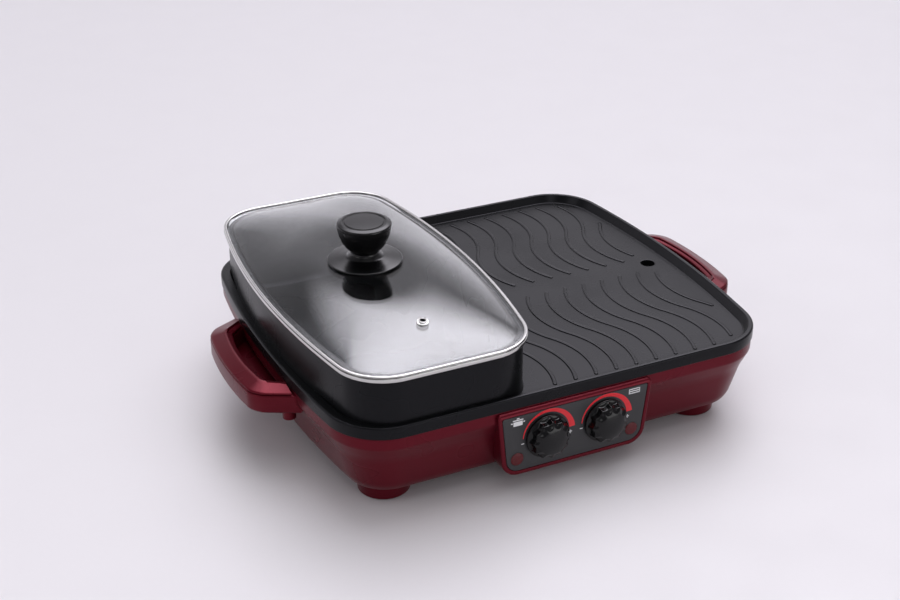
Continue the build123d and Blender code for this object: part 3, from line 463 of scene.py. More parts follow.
def pot_shape(grow=0.0):
    """Outline of the pot's wall, made larger by grow."""
    p = sizes("pot")
    return {"half_length": p.half_length + grow, "half_depth": p.half_depth + grow, "bow": p.bow,
            "corner": p.corner + grow, "x": p.centre_x, "y": sizes("pan").centre_y}


def right_side(shape, inset):
    """Right half of an outline as its reach along X at each Y."""
    loop = bowed(shape, inset)
    half = loop[loop[:, 0] > shape["x"]]
    order = half[np.argsort(half[:, 1])]
    return lambda y: np.interp(y, order[:, 1], order[:, 0])


def inside(loop, points):
    """Which points lie inside a closed outline, by counting the edges crossed to their right."""
    x, y = points[:, :1], points[:, 1:]
    a, b = loop, np.roll(loop, -1, 0)
    crosses = (a[:, 1] > y) != (b[:, 1] > y)
    run = np.where(np.abs(b[:, 1] - a[:, 1]) < 1e-12, 1e-12, b[:, 1] - a[:, 1])
    at = a[:, 0] + (y - a[:, 1]) * (b[:, 0] - a[:, 0]) / run
    return (crosses & (x < at)).sum(1) % 2 == 1


def flat_strip(left, right, y0, y1, z, columns=24, rows=60):
    """Level strip S(u, v) = (left(y) + u * (right(y) - left(y)), y, z) with y from y0 to y1."""
    y = np.linspace(y0, y1, rows)
    u = np.linspace(0, 1, columns)
    x = left(y)[:, None] + u * (right(y) - left(y))[:, None]
    grid = np.stack([x, np.broadcast_to(y[:, None], x.shape), np.full(x.shape, z)], -1)
    return grid, False


def pierced(x0, x1, y0, y1, z, hole, depth):
    """Level rectangle round a hole: rows run from the rectangle's edge to the hole, then down its wall."""
    ray = hole - hole.mean(0)
    ray = ray / np.abs(ray / ((x1 - x0) / 2, (y1 - y0) / 2)).max(1)[:, None]
    edge = ray + ((x0 + x1) / 2, (y0 + y1) / 2)
    rows = [lifted(edge + f * (hole - edge), z) for f in np.linspace(0, 1, 6)]
    rows += [lifted(hole, z - f * depth) for f in (0.04, 0.5, 1.0)]
    return np.array(rows), True


def rib_patch(line, y, size):
    """One rib: outlines at distance d from its line, ended by half circles, with a flat top and an edge
    h = H * (1 - s * s * (3 - 2 * s)) where s runs from 1 at the foot to 0 at the top."""
    half, sunk = size.width / 2, 2e-5
    spine = respaced(np.stack([line(y), y], 1), len(y), half)
    along = np.gradient(spine, axis=0)
    along /= np.linalg.norm(along, axis=1)[:, None]
    across = np.stack([along[:, 1], -along[:, 0]], 1)
    turn = np.linspace(0, math.pi, 11)[1:-1, None]
    end = across[-1] * np.cos(turn) + along[-1] * np.sin(turn)
    start = -across[0] * np.cos(turn) - along[0] * np.sin(turn)
    steps = [(s, half * (1 - size.edge * (1 - s))) for s in np.linspace(1, 0, 6)]
    rows = []
    for s, reach in [*steps, (0, 2e-5)]:
        loop = np.concatenate([
            spine + reach * across, spine[-1] + reach * end,
            (spine - reach * across)[::-1], spine[0] + reach * start])
        rows.append(lifted(loop, sizes("pan").plate_z - sunk + size.height * (1 - s * s * (3 - 2 * s))))
    return np.array(rows), True


def rib_patches():
    """Two mirrored sets of S-shaped ribs: X(y) on two arcs of radius R = (c * c + s * s) / (2 * s)."""
    r, p = sizes("ribs"), sizes("pan")
    chord = r.half_wave / 2
    big = (chord ** 2 + r.swing ** 2) / (2 * r.swing)
    area = bowed(pan_shape(), p.land + p.slope + r.margin)
    pot = bowed(pot_shape(r.margin), 0)
    patches = []
    for place in range(r.count):
        zero = r.first_x + place * r.pitch

        def line(y, zero=zero):
            far = np.abs(y - p.centre_y) - r.channel
            second = far > r.half_wave
            off = far - chord - np.where(second, r.half_wave, 0)
            arc = np.sqrt(np.clip(big ** 2 - off ** 2, 0, None)) - (big - r.swing)
            return zero + np.where(second, arc, -arc)

        for side in SIDES:
            y = p.centre_y + side * np.linspace(r.channel, r.channel + 2 * r.half_wave, 300)
            spots = np.stack([line(y), y], 1)
            away = np.hypot(spots[:, 0] - p.drain_x, spots[:, 1] - p.centre_y)
            clear = inside(area, spots) & ~inside(pot, spots) & (away > p.drain_radius + r.drain_margin)
            ends = np.flatnonzero(np.diff(np.concatenate([[0], clear.astype(int), [0]])))
            for first, last in ends.reshape(-1, 2):
                if last - first > 8:
                    patches.append(rib_patch(line, np.linspace(y[first], y[last - 1], 72), r))
    return patches


def pan_rim():
    """Rim of the pan: outlines of one profile. Its slope falls to the plate on the right; beside the pot it
    stays at the rim's height and ends at a ledge."""
    p, shape = sizes("pan"), pan_shape()
    ledge, foot, sink_x, sink_run = 0.0068, 0.0165, -0.078, 0.006
    profile = rounded([
        (0.0032, p.skirt_z), (0, p.skirt_z), (0, p.rim_z), (p.land, p.rim_z), (p.land + p.slope, p.plate_z),
        (foot, p.plate_z)], (0.0006, 0.0016, 0.0011, 0.0014), 7)
    rim = rings(shape, profile)
    inner = (np.arange(len(profile)) >= np.argmax(profile[:, 1] >= p.rim_z - 1e-9))[:, None]
    level = inner * (1 - np.clip((rim[..., 0] - sink_x) / sink_run, 0, 1))
    deep = np.clip((profile[:, 0] - p.land * 0.5) / (p.land * 0.4), 0, 1)[:, None]
    rim[..., 2] += deep * level * (np.maximum(rim[..., 2], p.rim_z) - rim[..., 2])
    drawn = rings(shape, [(min(inset, ledge), 0) for inset, height in profile])
    rim[..., :2] += level[..., None] * (drawn - rim)[..., :2]
    return rim


def plate_patches():
    """Grill plate: level strips from the pot's wall to the rim and a pierced square round the drain."""
    p, shape = sizes("pan"), pan_shape()
    tuck, room, depth = 0.0115, 0.010, 0.012
    wall, edge = right_side(pot_shape(), 0.002), right_side(shape, tuck)
    cy, reach, top = p.centre_y, p.half_depth - tuck, p.plate_z - 1e-5
    near, far = p.drain_x - room, p.drain_x + room
    outline = bowed(shape, tuck)
    corner = np.abs(outline[outline[:, 0] > near + 0.0005][:, 1] - cy).max()
    turn = np.linspace(0, 2 * math.pi, 64, endpoint=False)
    hole = np.stack([p.drain_x + p.drain_radius * np.cos(turn), cy + p.drain_radius * np.sin(turn)], 1)

    def split(y):
        return np.minimum(edge(y), near)

    def beyond(y):
        return np.full(len(y), far)

    return [
        flat_strip(wall, split, cy - reach, cy + reach, top),
        flat_strip(split, edge, cy - corner, cy - room, top, 12),
        flat_strip(split, edge, cy + room, cy + corner, top, 12),
        flat_strip(beyond, edge, cy - room, cy + room, top, 4, 12),
        pierced(near, far, cy - room, cy + room, top, hole, depth),
    ]


def pot_walls():
    """Pot: outlines of one profile, up from the plate, over the lip and down to the floor."""
    p, pot = sizes("pan"), sizes("pot")
    walls = rings(pot_shape(), rounded([
        (-0.0012, p.plate_z - 0.001), (0.0001, p.plate_z + 0.0012), (0.0002, p.rim_z - 0.0005),
        (0.0005, pot.lip_z), (0.004, pot.lip_z), (0.005, p.plate_z), (0.0125, pot.floor_z + 0.003),
        (0.0165, pot.floor_z), (0.028, pot.floor_z)], (0.0008, 0.0, 0.0012, 0.0012, 0.02, 0.006, 0.004), 7))
    return np.concatenate([walls, to_middle(walls[-1])])


class GRILL_OT_pan(bpy.types.Operator):
    """Build the cast pan: rim, grill plate with ribs and drain, and the pot"""
    bl_idname = "grill.pan"
    bl_label = "Pan"

    def execute(self, context):
        patches = [(pan_rim(), True), *plate_patches(), *rib_patches(), (pot_walls(), True)]
        mesh_piece("pan_casting", patches, "base", ["pan"], "nonstick_aluminium")
        return {"FINISHED"}


class GRILL_OT_base(bpy.types.Operator):
    """Build the base's outer skin and the feet"""
    bl_idname = "grill.base"
    bl_label = "Base"

    def execute(self, context):
        p = sizes("pan")
        skin, top, bottom = 0.00025, p.skirt_z - 0.0001, 0.0149
        wall = rounded([
            (0.020, bottom), (0.0155, 0.0165), (0.013, 0.021), (0.0064, 0.0468), (0.001, 0.0590),
            (0.001, top), (0.004, top)], (0.003, 0.020, 0.050, 0.006, 0.0006), 8)
        rows = rings(pan_shape(), [(inset - skin, height) for inset, height in wall])
        mesh_piece("base_skin", rows, "base", [], "burgundy_plastic")
        foot_x, foot_y, pad, wide, low, high = 0.131, 0.110, 0.0153, 0.0205, 0.0008, 0.0151
        profile = rounded([
            (pad, 0.003), (pad, low), (0.0194, low), (wide, 0.0135), (wide, high), (0.012, high)],
            (0.0004, 0.0016, 0.002, 0.0003), 6)
        for row, y in (("front", -1), ("rear", 1)):
            for column, x in (("left", -1), ("right", 1)):
                node = f"foot_{row}_{column}"
                foot = turned(profile, (x * foot_x, p.centre_y + y * foot_y, 0))
                mesh_piece(node + "_turned", foot, "base", [node], "burgundy_plastic")
        return {"FINISHED"}


def handle_line(side, inset):
    """Plan of the right handle's outer edge or of its finger recess, drawn in by inset: two arms and a bowed
    end x + b * (1 - (y / n) ** 2)."""
    h, steps = sizes("handles"), 12
    if side == "out":
        measures = np.array([h.edge, h.root_half, h.end_half, h.corner]) - inset
    else:
        bar = (h.edge - h.bar, h.root_half - h.arm_root, h.end_half - h.arm_end, h.gap_corner)
        measures = np.array(bar) + inset
    edge, wide, narrow, corner = measures
    end, bend = edge - h.bow, steps + 1
    path = rounded([(h.root, -wide), (end, -narrow), (end, narrow), (h.root, wide)], (corner, corner), steps)
    first = path[0] + (path[1] - path[0]) * np.linspace(0, 1, 40)[:-1, None]
    middle = path[bend] + (path[bend + 1] - path[bend]) * np.linspace(0, 1, 26)[1:-1, None]
    last = path[-2] + (path[-1] - path[-2]) * np.linspace(0, 1, 40)[1:, None]
    line = np.concatenate([first, path[1:bend + 1], middle, path[bend + 1:-1], last])
    line[:, 0] += h.bow * np.clip(1 - (line[:, 1] / narrow) ** 2, 0, 1)
    return line


def held_off(line, gap):
    """Plan line cut off at the pan's outline grown by gap, with as many points as before."""
    shape = pan_shape()
    past = line[:, 0] - right_side(shape, -gap)(line[:, 1] + shape["y"])
    first, last = np.flatnonzero(past > 0)[[0, -1]]
    kept = [line[first:last + 1]]
    if first > 0:
        share = past[first] / (past[first] - past[first - 1])
        kept.insert(0, line[first:first + 1] + share * (line[first - 1] - line[first]))
    if last < len(line) - 1:
        share = past[last] / (past[last] - past[last + 1])
        kept.append(line[last:last + 1] + share * (line[last + 1] - line[last]))
    return respaced(np.concatenate(kept), len(line))


def handle_rows(profile, gap):
    """Handle half S(s, j): profile point j is an inset of the outer edge or of the recess at one height,
    and each line stops at the pan's outline grown by gap. Returns the half and its two end faces."""
    rows = [lifted(held_off(handle_line(side, inset), gap), height) for side, inset, height in profile]
    grid = np.array(rows).transpose(1, 0, 2)[:, ::-1]
    faces = [np.array([end + f * (end.mean(0) - end) for f in (0, 0.99)]) for end in (grid[0], grid[-1])]
    return [grid, faces[0][::-1], faces[1]]


def handle_profiles():
    """Sections of a handle's lower half and of its cover: edge, inset and height of each point."""
    h = sizes("handles")
    turn = np.linspace(0, math.pi / 2, 7)
    low, lip, ledge = 0.0024, 0.0008, 0.003
    seam, start, ledge_z = h.seam_z - 0.0001, h.seam_z + 0.0009, h.lip_z - 0.0017
    foot = [(low * (1 - math.cos(a)), h.bottom_z + low * (1 - math.sin(a))) for a in turn]
    side = [(0.004, seam), (0.0007, seam), (0.0001, seam - 0.0006), (0.0, seam - 0.0012), *foot]
    lower = [("in", inset - ledge, z) for inset, z in side] + [("out", *spot) for spot in side[::-1]]
    slope = [(f * (h.bar - 0.0022), h.edge_z + f * (h.lip_z - h.edge_z)) for f in np.linspace(0.04, 1, 8)]
    edge = [(lip * (1 - math.sin(a)) + 0.0001, h.lip_z - lip * (1 - math.cos(a))) for a in turn]
    cover = [
        ("out", 0.004, start - 0.0004), ("out", 0.0011, start - 0.0004), ("out", 0.0002, start),
        *[("out", *spot) for spot in slope], *[("in", *spot) for spot in edge],
        ("in", 0.0001, ledge_z + 0.0002), ("in", -0.0002, ledge_z), ("in", 0.0006 - ledge, ledge_z - 0.0003),
        ("in", 0.0001 - ledge, ledge_z - 0.0008), ("in", -ledge, start), ("in", 0.004, start)]
    return lower, cover


def recess_floor():
    """Floor of the right finger recess: level rows from the bar to the base, above and below."""
    h = sizes("handles")
    x, y = handle_line("in", 0.003).T
    rows = []
    for f in np.linspace(0, 1, 6):
        reach = np.maximum(x + f * (h.shown_root - x), h.shown_root)
        rows.append(lifted(np.stack([reach, y], 1), h.bottom_z))
    rows = np.array(rows)
    return [rows + (0, 0, h.floor), rows[::-1]]


def screw_bosses():
    """Hollow bosses under the arms of the right handle."""
    h = sizes("handles")
    hole, end = 0.0037, h.bottom_z - 0.006
    profile = rounded([(hole, h.bottom_z - 0.0038), (hole, end), (0.005, end), (0.0052, h.bottom_z + 0.001)],
                      (0.0003, 0.0007), 5)
    return [turned(profile, (h.boss_x, side * h.boss_y, 0), count=40) for side in SIDES]


class GRILL_OT_handles(bpy.types.Operator):
    """Build both handles in two halves each"""
    bl_idname = "grill.handles"
    bl_label = "Handles"

    def execute(self, context):
        h, cy = sizes("handles"), sizes("pan").centre_y
        lower, cover = handle_profiles()
        bottom = [(grid, True) for grid in handle_rows(lower, -h.under_rim)]
        bottom += [(grid, False) for grid in recess_floor()]
        bottom += [(grid, True) for grid in screw_bosses()]
        top = [(grid, True) for grid in handle_rows(cover, h.rim_gap)]
        for name, flip in (("right", 1), ("left", -1)):
            for half, grids in (("bottom", bottom), ("top", top)):
                patches = [(grid[:, ::flip] * (flip, 1, 1) + (0, cy, 0), closed) for grid, closed in grids]
                node = f"{name}_handle_{half}"
                mesh_piece(node + "_moulding", patches, "base", [node], "burgundy_plastic")
        return {"FINISHED"}


def panel_line(inset):
    """Front view of the panel drawn in by inset, as (x, z) counter-clockwise from the top middle."""
    c = sizes("controls")
    top, bottom, high, low = c.top - inset, c.bottom - inset, c.top_z - inset, c.bottom_z + inset
    small, big = max(0.0035 - inset * 0.5, 0.0012), max(c.corner - inset, 0.004)
    path = rounded([(0, high), (-top, high), (-bottom, low), (bottom, low), (top, high), (0, high)],
                   (small, big, big, small), 14)
    return path[:-1]


def fronted(line, out):
    """Points of a front view at y = -out from the middle of the pan."""
    y = np.full(len(line), sizes("pan").centre_y - out)
    return np.column_stack([line[:, 0], y, line[:, 1]])


def panel_frame():
    """Frame of the panel: its front view drawn in along one profile. The top of its front leans back by
    b * s * s, where s runs from 0 to 1 over the frame's width."""
    c = sizes("controls")
    back, lean = 0.1412, 0.0022
    profile = rounded([
        (0.009, back), (0.0, back), (0.0, c.face), (c.frame_width, c.face), (c.frame_width, c.face - 0.0024)],
        (0.0003, 0.0013, 0.0006), 7)
    rows = np.array([fronted(panel_line(inset), out) for inset, out in profile])
    front = profile[:, 1:] > (back + c.face) / 2
    s = np.clip((rows[..., 2] - c.top_z) / c.frame_width + 1, 0, 1)
    rows[..., 1] += lean * front * s ** 2
    return rows


def panel_fascia():
    """Fascia inside the frame: a rounded edge, filled towards its middle."""
    c = sizes("controls")
    start, face = c.frame_width + 0.0003, c.plate_face
    edge = rounded([(0.0, face - 0.0018), (0.0, face), (0.006, face)], (0.0003,), 4)
    rows = np.array([fronted(panel_line(start + inset), out) for inset, out in edge])
    return np.concatenate([rows, to_middle(rows[-1])])


def printed(x, z):
    """Points just off the fascia, for the print and for the painted shade round the lenses."""
    lift = 0.00006
    return fronted(np.stack([x, z], 1), sizes("controls").plate_face + lift)


def fascia_arc(x, z, start, end, radius, thin, thick):
    """Flat arc whose width grows from thin to thick between two angles."""
    turn = np.linspace(start, end, 72)
    width = thin + (thick - thin) * np.linspace(0, 1, 72) ** 1.3
    reach = [radius + f * width for f in np.linspace(0, 1, 5)]
    return np.array([printed(x + r * np.cos(turn), z + r * np.sin(turn)) for r in reach]), False


def printed_bar(x, z, wide, tall):
    """Flat bar of a sign."""
    u = np.linspace(-0.5, 0.5, 3)
    return np.array([printed(x + u * wide, np.full(3, z + v * tall)) for v in u]), False


def printed_signs():
    """Minus and plus at the ends of each arc, a pot with its lid and a grill's grid, all made of bars."""
    c = sizes("controls")
    pot_x, grill_x, z = -0.0475, 0.0485, 0.0597
    bars = []
    for side in SIDES:
        minus, plus, low = side * c.knob_x - 0.0193, side * c.knob_x + 0.0197, c.knob_z - 0.0028
        bars += [(minus, low, 0.0024, 0.0007), (plus, low, 0.0026, 0.0008), (plus, low, 0.0008, 0.0026)]
    bars += [(pot_x, z - 0.0024, 0.0074, 0.0036), (pot_x, z + 0.0005, 0.0084, 0.0009)]
    bars += [(pot_x, z + 0.0018, 0.0022, 0.0009)]
    bars += [(pot_x + side * 0.0049, z - 0.0015, 0.0014, 0.0010) for side in SIDES]
    bars += [(grill_x, z + step * 0.0017, 0.0086, 0.0008) for step in (-1, 0, 1)]
    bars += [(grill_x + side * 0.0043, z, 0.0008, 0.0042) for side in SIDES]
    return [printed_bar(*bar) for bar in bars]


class GRILL_OT_panel(bpy.types.Operator):
    """Build the control panel: frame, fascia, printed arcs and signs, painted shade round the lenses and lamp
    lenses
    """
    bl_idname = "grill.panel"
    bl_label = "Panel"

    def execute(self, context):
        c, cy = sizes("controls"), sizes("pan").centre_y
        r, face = c.lens_radius, c.plate_face
        mesh_piece("panel_frame", panel_frame(), "base", ["panel_bezel"], "burgundy_plastic")
        mesh_piece("panel_fascia", panel_fascia(), "base", ["panel_plate"], "fascia_plastic")
        start, end = math.radians(176), math.radians(4)
        # dark holds flat black rings round the lenses, painted shade of the gap between lens and fascia; red
        # holds the printed arcs
        dark, red = [], []
        for side in SIDES:
            dark.append(fascia_arc(side * c.lens_x, c.lens_z, 2 * math.pi, 0, r - 0.0002, 0.0009, 0.0009))
            red.append(fascia_arc(side * c.knob_x, c.knob_z, start, end, 0.0186, 0.0008, 0.0048))
        mesh_piece("lens_gaps", dark, "base", [], "fascia_plastic", "black_plastic")
        mesh_piece("printed_arcs", red, "base", [], "fascia_plastic", "red_ink")
        mesh_piece("printed_signs", printed_signs(), "base", [], "fascia_plastic", "white_ink")
        dome = rounded([(r, 0.150), (r, face + 0.0004), (r * 0.6, face + 0.00085), (0, face + 0.001)],
                       (0.0006, 0.006), 6)
        for name, side in CONTROLS:
            lens = turned(dome, (side * c.lens_x, cy, c.lens_z), facing=True, count=48)
            mesh_piece(name + "_lens_cap", lens, "base", [name + "_lens"], "red_lens")
        return {"FINISHED"}


def knob_profile():
    """Section of a control knob: back, collar, side and a ball-shaped cap, in steps of at most 1.2 mm."""
    c = sizes("controls")
    reach, step = np.radians(np.linspace(28, 0, 13)), 0.0006
    cap = np.stack([c.cap * np.sin(reach), c.knob_depth - c.cap * (1 - np.cos(reach))], 1)
    side = rounded([
        (0.008, 0.0004), (0.0169, 0.0), (0.0172, 0.0022), (0.0160, 0.0029), (0.0150, 0.0084), cap[0]],
        (0.0003, 0.0008, 0.0008, 0.0008), 6)
    path = np.concatenate([side, cap[1:]])
    dense = []
    for first, last in zip(path, path[1:]):
        count = max(1, int(np.linalg.norm(last - first) / step))
        dense += [first + (last - first) * place / count for place in range(count)]
    return np.array([*dense, path[-1]])


class GRILL_OT_controls(bpy.types.Operator):
    """Build the two fluted control knobs"""
    bl_idname = "grill.controls"
    bl_label = "Control knobs"

    def execute(self, context):
        c, cy = sizes("controls"), sizes("pan").centre_y
        profile = knob_profile()
        above = np.clip((profile[:, 1] - 0.0027) / 0.0012, 0, 1)
        depth = c.flute_depth * above * np.clip((profile[:, 0] - 0.0105) / 0.0025, 0, 1)

        def flute(index, angles):
            return depth[index] * np.abs(np.sin(angles * c.flutes / 2))

        for name, side in CONTROLS:
            centre = (side * c.knob_x, cy - c.knob_back, c.knob_z)
            rows = turned(profile, centre, facing=True, count=240, flute=flute)
            node = name + "_knob"
            mesh_piece(node + "_grip", rows, node, [node], "black_gloss_plastic")
        return {"FINISHED"}


def lid_band():
    """Band of the lid: outlines of one profile with a turned-in foot, a groove and a flat top."""
    lid = sizes("lid")
    low, high, lip = lid.band_z, lid.band_z + lid.band_height, lid.band_lip
    return rings(pot_shape(lid.overhang), rounded([
        (lip, low + 0.002), (lip, low), (0, low), (0, high - 0.0022), (0.0014, high - 0.0020),
        (0.0014, high - 0.0013), (0.0002, high - 0.0011), (0.0002, high), (lip, high), (lip, high - 0.0016)],
        (0.0003, 0.0014, 0.0004, 0.0001, 0.0001, 0.0003, 0.0006, 0.0008), 6))


def dome_rows(foot_z):
    """Dome of the glass: a flat edge, then outlines that shrink by 1 - (1 - k) * t towards the middle, turn
    into ellipses by t = 0.6 and rise by h * (1 - (1 - t) ** 2) until the flat top of share k."""
    lid, shape = sizes("lid"), pot_shape(sizes("lid").overhang)
    middle = np.array([shape["x"], shape["y"]])
    ray = bowed(shape, lid.flange) - middle
    half = np.array([shape["half_length"], shape["half_depth"]]) - lid.flange
    oval = 1 / np.linalg.norm(ray / half, axis=1)[:, None]
    share = (lid.disc_radius + lid.dome_seat) / half[0]
    rows = [lifted(bowed(shape, inset), foot_z) for inset in (0.0011, 0.004)]
    for t in np.linspace(0, 1, 41) ** 1.4:
        pull = min(t / 0.6, 1)
        pull = pull * pull * (3 - 2 * pull)
        line = middle + (1 - (1 - share) * t) * (1 + pull * (oval - 1)) * ray
        rows.append(lifted(line, foot_z + lid.dome_rise * (1 - (1 - t) ** 2)))
    rows = np.array(rows)
    return np.concatenate([rows, to_middle(rows[-1])])


def bowl(low, high, steps):
    """Side of the lid knob's grip: r = n + (R - n) * (1 - u ** 1.6) ** (1 / 1.6), u running from 1 at the
    neck to 0 below the rounded edge."""
    lid = sizes("lid")
    edge, widest = lid.knob_z - lid.knob_edge, lid.knob_radius - 0.0003
    at = np.linspace(low, high, steps)
    u = np.clip((edge - at) / (edge - lid.neck_z), 0, 1)
    return [*zip(lid.neck_radius + (widest - lid.neck_radius) * (1 - u ** 1.6) ** 0.625, at)]


def knob_skirt(top):
    """Section of the lid knob's disc and neck on the glass at height top, with the start of the bowl."""
    lid = sizes("lid")
    disc, neck = lid.disc_radius, lid.neck_radius
    foot = rounded([
        (0.003, top), (disc - 0.0003, top), (disc, top + 0.0019), (0.0215, top + 0.0028),
        (0.0140, top + 0.0040), (neck + 0.0003, top + 0.0068), (neck, lid.neck_z)],
        (0.0004, 0.0008, 0.01, 0.004, 0.003), 8)
    return [*foot, *bowl(lid.neck_z, lid.grip_z, 10)[1:]]


def knob_grip():
    """Section of the lid knob's grip: bowl, rounded edge and level top with a ring groove."""
    lid = sizes("lid")
    z, r, groove, edge = lid.knob_z, lid.knob_radius, 0.0155, lid.knob_z - lid.knob_edge
    cap = rounded([
        (r - 0.0003, edge), (r, z - 0.0022), (r - 0.0004, z - 0.0009), (r - 0.0032, z), (groove + 0.0009, z),
        (groove + 0.0006, z - 0.0007), (groove - 0.0006, z - 0.0007), (groove - 0.0009, z), (0.0, z)],
        (0.0006, 0.0012, 0.003, 0.0003, 0.0002, 0.0002, 0.0003), 7)
    return [*bowl(lid.grip_z, edge, 20), *cap[1:]]


def vent_collar(bore):
    """Section of the vent's grommet: stepped collar above the glass, sleeve and lower flange."""
    collar = rounded([
        (bore, -0.0048), (bore, 0.0018), (0.0025, 0.0021), (0.0031, 0.0018), (0.0032, 0.0009),
        (0.0041, 0.0009), (0.0045, 0.0004), (0.0045, -0.0002), (0.0026, -0.0002), (0.0026, -0.0038),
        (0.0038, -0.0039), (0.0037, -0.0048), (bore, -0.0048)],
        (0.0002, 0.0002, 0.0003, 0.0002, 0.0003, 0.0002, 0.0001, 0.0001, 0.0001, 0.0001, 0.0002), 4)
    return collar[::-1]


def on_dome(profile):
    """Surface of revolution at the vent, leaning with the glass."""
    lid = sizes("lid")
    x, y, z = np.moveaxis(turned(profile, (0, 0, 0), count=48), -1, 0)
    c, s = math.cos(lid.vent_tilt), math.sin(lid.vent_tilt)
    place = (sizes("pot").centre_x, sizes("pan").centre_y - lid.vent_y, lid.vent_z)
    return np.stack([x, c * y - s * z, s * y + c * z], -1) + place


class GRILL_OT_lid(bpy.types.Operator):
    """Build the lift-off lid: glass, band, knob and vent"""
    bl_idname = "grill.lid"
    bl_label = "Lid"

    def execute(self, context):
        lid = sizes("lid")
        centre = (sizes("pot").centre_x, sizes("pan").centre_y, 0)
        band_floor, bore = 0.0008, 0.0021
        under_z = lid.band_z + band_floor
        upper_z = under_z + lid.glass_thickness
        glass = np.concatenate([dome_rows(under_z)[::-1], dome_rows(upper_z)])
        skirt, grip = turned(knob_skirt(upper_z + lid.dome_rise), centre), turned(knob_grip(), centre)
        # A black sleeve just inside the vent's steel bore: painted shade that hides the bore's lit wall
        hole = on_dome([(bore - 0.0001, 0.0015), (bore - 0.0001, -0.0046)])
        mesh_piece("lid_band", lid_band(), "lid", ["lid_rim"], "stainless")
        mesh_piece("lid_glass_dome", glass, "lid", ["lid_glass"], "lid_glass")
        mesh_piece("lid_knob_skirt", skirt, "lid", ["lid_knob_base"], "black_gloss_plastic", "satin_black")
        mesh_piece("lid_knob_grip", grip, "lid", ["lid_knob"], "black_gloss_plastic", "satin_black")
        mesh_piece("lid_vent_grommet", on_dome(vent_collar(bore)), "lid", ["lid_vent"], "stainless")
        mesh_piece("lid_vent_bore", hole, "lid", [], "black_plastic")
        return {"FINISHED"}


class GRILL_OT_finishes(bpy.types.Operator):
    """Give every remaining part its material and smooth its round faces"""
    bl_idname = "grill.finishes"
    bl_label = "Finishes"

    def execute(self, context):
        for part in frame["record"]["subparts"]:
            node = frame["nodes"][part["node"]]
            node.data.materials.clear()
            node.data.materials.append(finish(part["material_slot"]))
            weld = node.modifiers.new("Weld", "WELD")
            weld.merge_threshold = 1e-6
            smooth = node.modifiers.new("Smooth faces", "NODES")
            smooth.node_group = smooth_group()
        return {"FINISHED"}


def smooth_group():
    """Geometry nodes that smooth faces and keep edges over thirty degrees sharp."""
    found = bpy.data.node_groups.get("Smooth by angle")
    if found:
        return found
    group = bpy.data.node_groups.new("Smooth by angle", "GeometryNodeTree")
    for way in ("INPUT", "OUTPUT"):
        group.interface.new_socket("Geometry", in_out=way, socket_type="NodeSocketGeometry")
    source = add(group, "NodeGroupInput").outputs[0]
    angle = add(group, "GeometryNodeInputMeshEdgeAngle").outputs[0]
    steep = add(group, "FunctionNodeCompare", {0: angle, 1: math.radians(30)}, operation="GREATER_THAN")
    faces = add(group, "GeometryNodeSetShadeSmooth", {"Geometry": source, "Shade Smooth": True}).outputs[0]
    kept = {"Geometry": faces, "Selection": steep.outputs[0], "Shade Smooth": False}
    edges = add(group, "GeometryNodeSetShadeSmooth", kept, domain="EDGE").outputs[0]
    add(group, "NodeGroupOutput", {0: edges})
    return group


def look_at(place, aim):
    """Rotation that turns -Z from place towards aim, with +Y up."""
    x, y, z = np.array(aim) - np.array(place)
    return (math.atan2(math.hypot(x, y), -z), 0, math.atan2(y, x) - math.pi / 2)


def add_table(scene):
    """Level table top under the part."""
    half = 6
    mesh = bpy.data.meshes.new("table")
    corners = [(-half, -half, 0), (half, -half, 0), (half, half, 0), (-half, half, 0)]
    mesh.from_pydata(corners, [], [(0, 1, 2, 3)])
    table = bpy.data.objects.new("table", mesh)
    scene.collection.objects.link(table)
    mesh.materials.append(finish("laminate"))


def add_soft_boxes(scene):
    """Soft boxes: place, aim, width, height and power of each."""
    for name, place, aim, wide, tall, power in (
            ("Overhead soft box", (-0.1, -0.5, 1.9), (0, -0.1, 0), 1.4, 1.4, 6),
            ("Left soft box", (-1.8, -0.2, 1.0), (0, 0, 0.05), 0.9, 0.9, 3.2),
            ("Front soft box", (-0.5, -1.7, 1.3), (0, 0, 0.05), 0.6, 0.6, 2),
            ("Right soft box", (0.75, -1.7, 0.4), (0, -0.1, 0.05), 1.2, 0.65, 5.5)):
        data = bpy.data.lights.new(name, "AREA")
        data.shape = "RECTANGLE"
        data.size = wide
        data.size_y = tall
        data.energy = power
        lamp = bpy.data.objects.new(name, data)
        scene.collection.objects.link(lamp)
        lamp.location = place
        lamp.rotation_euler = look_at(place, aim)


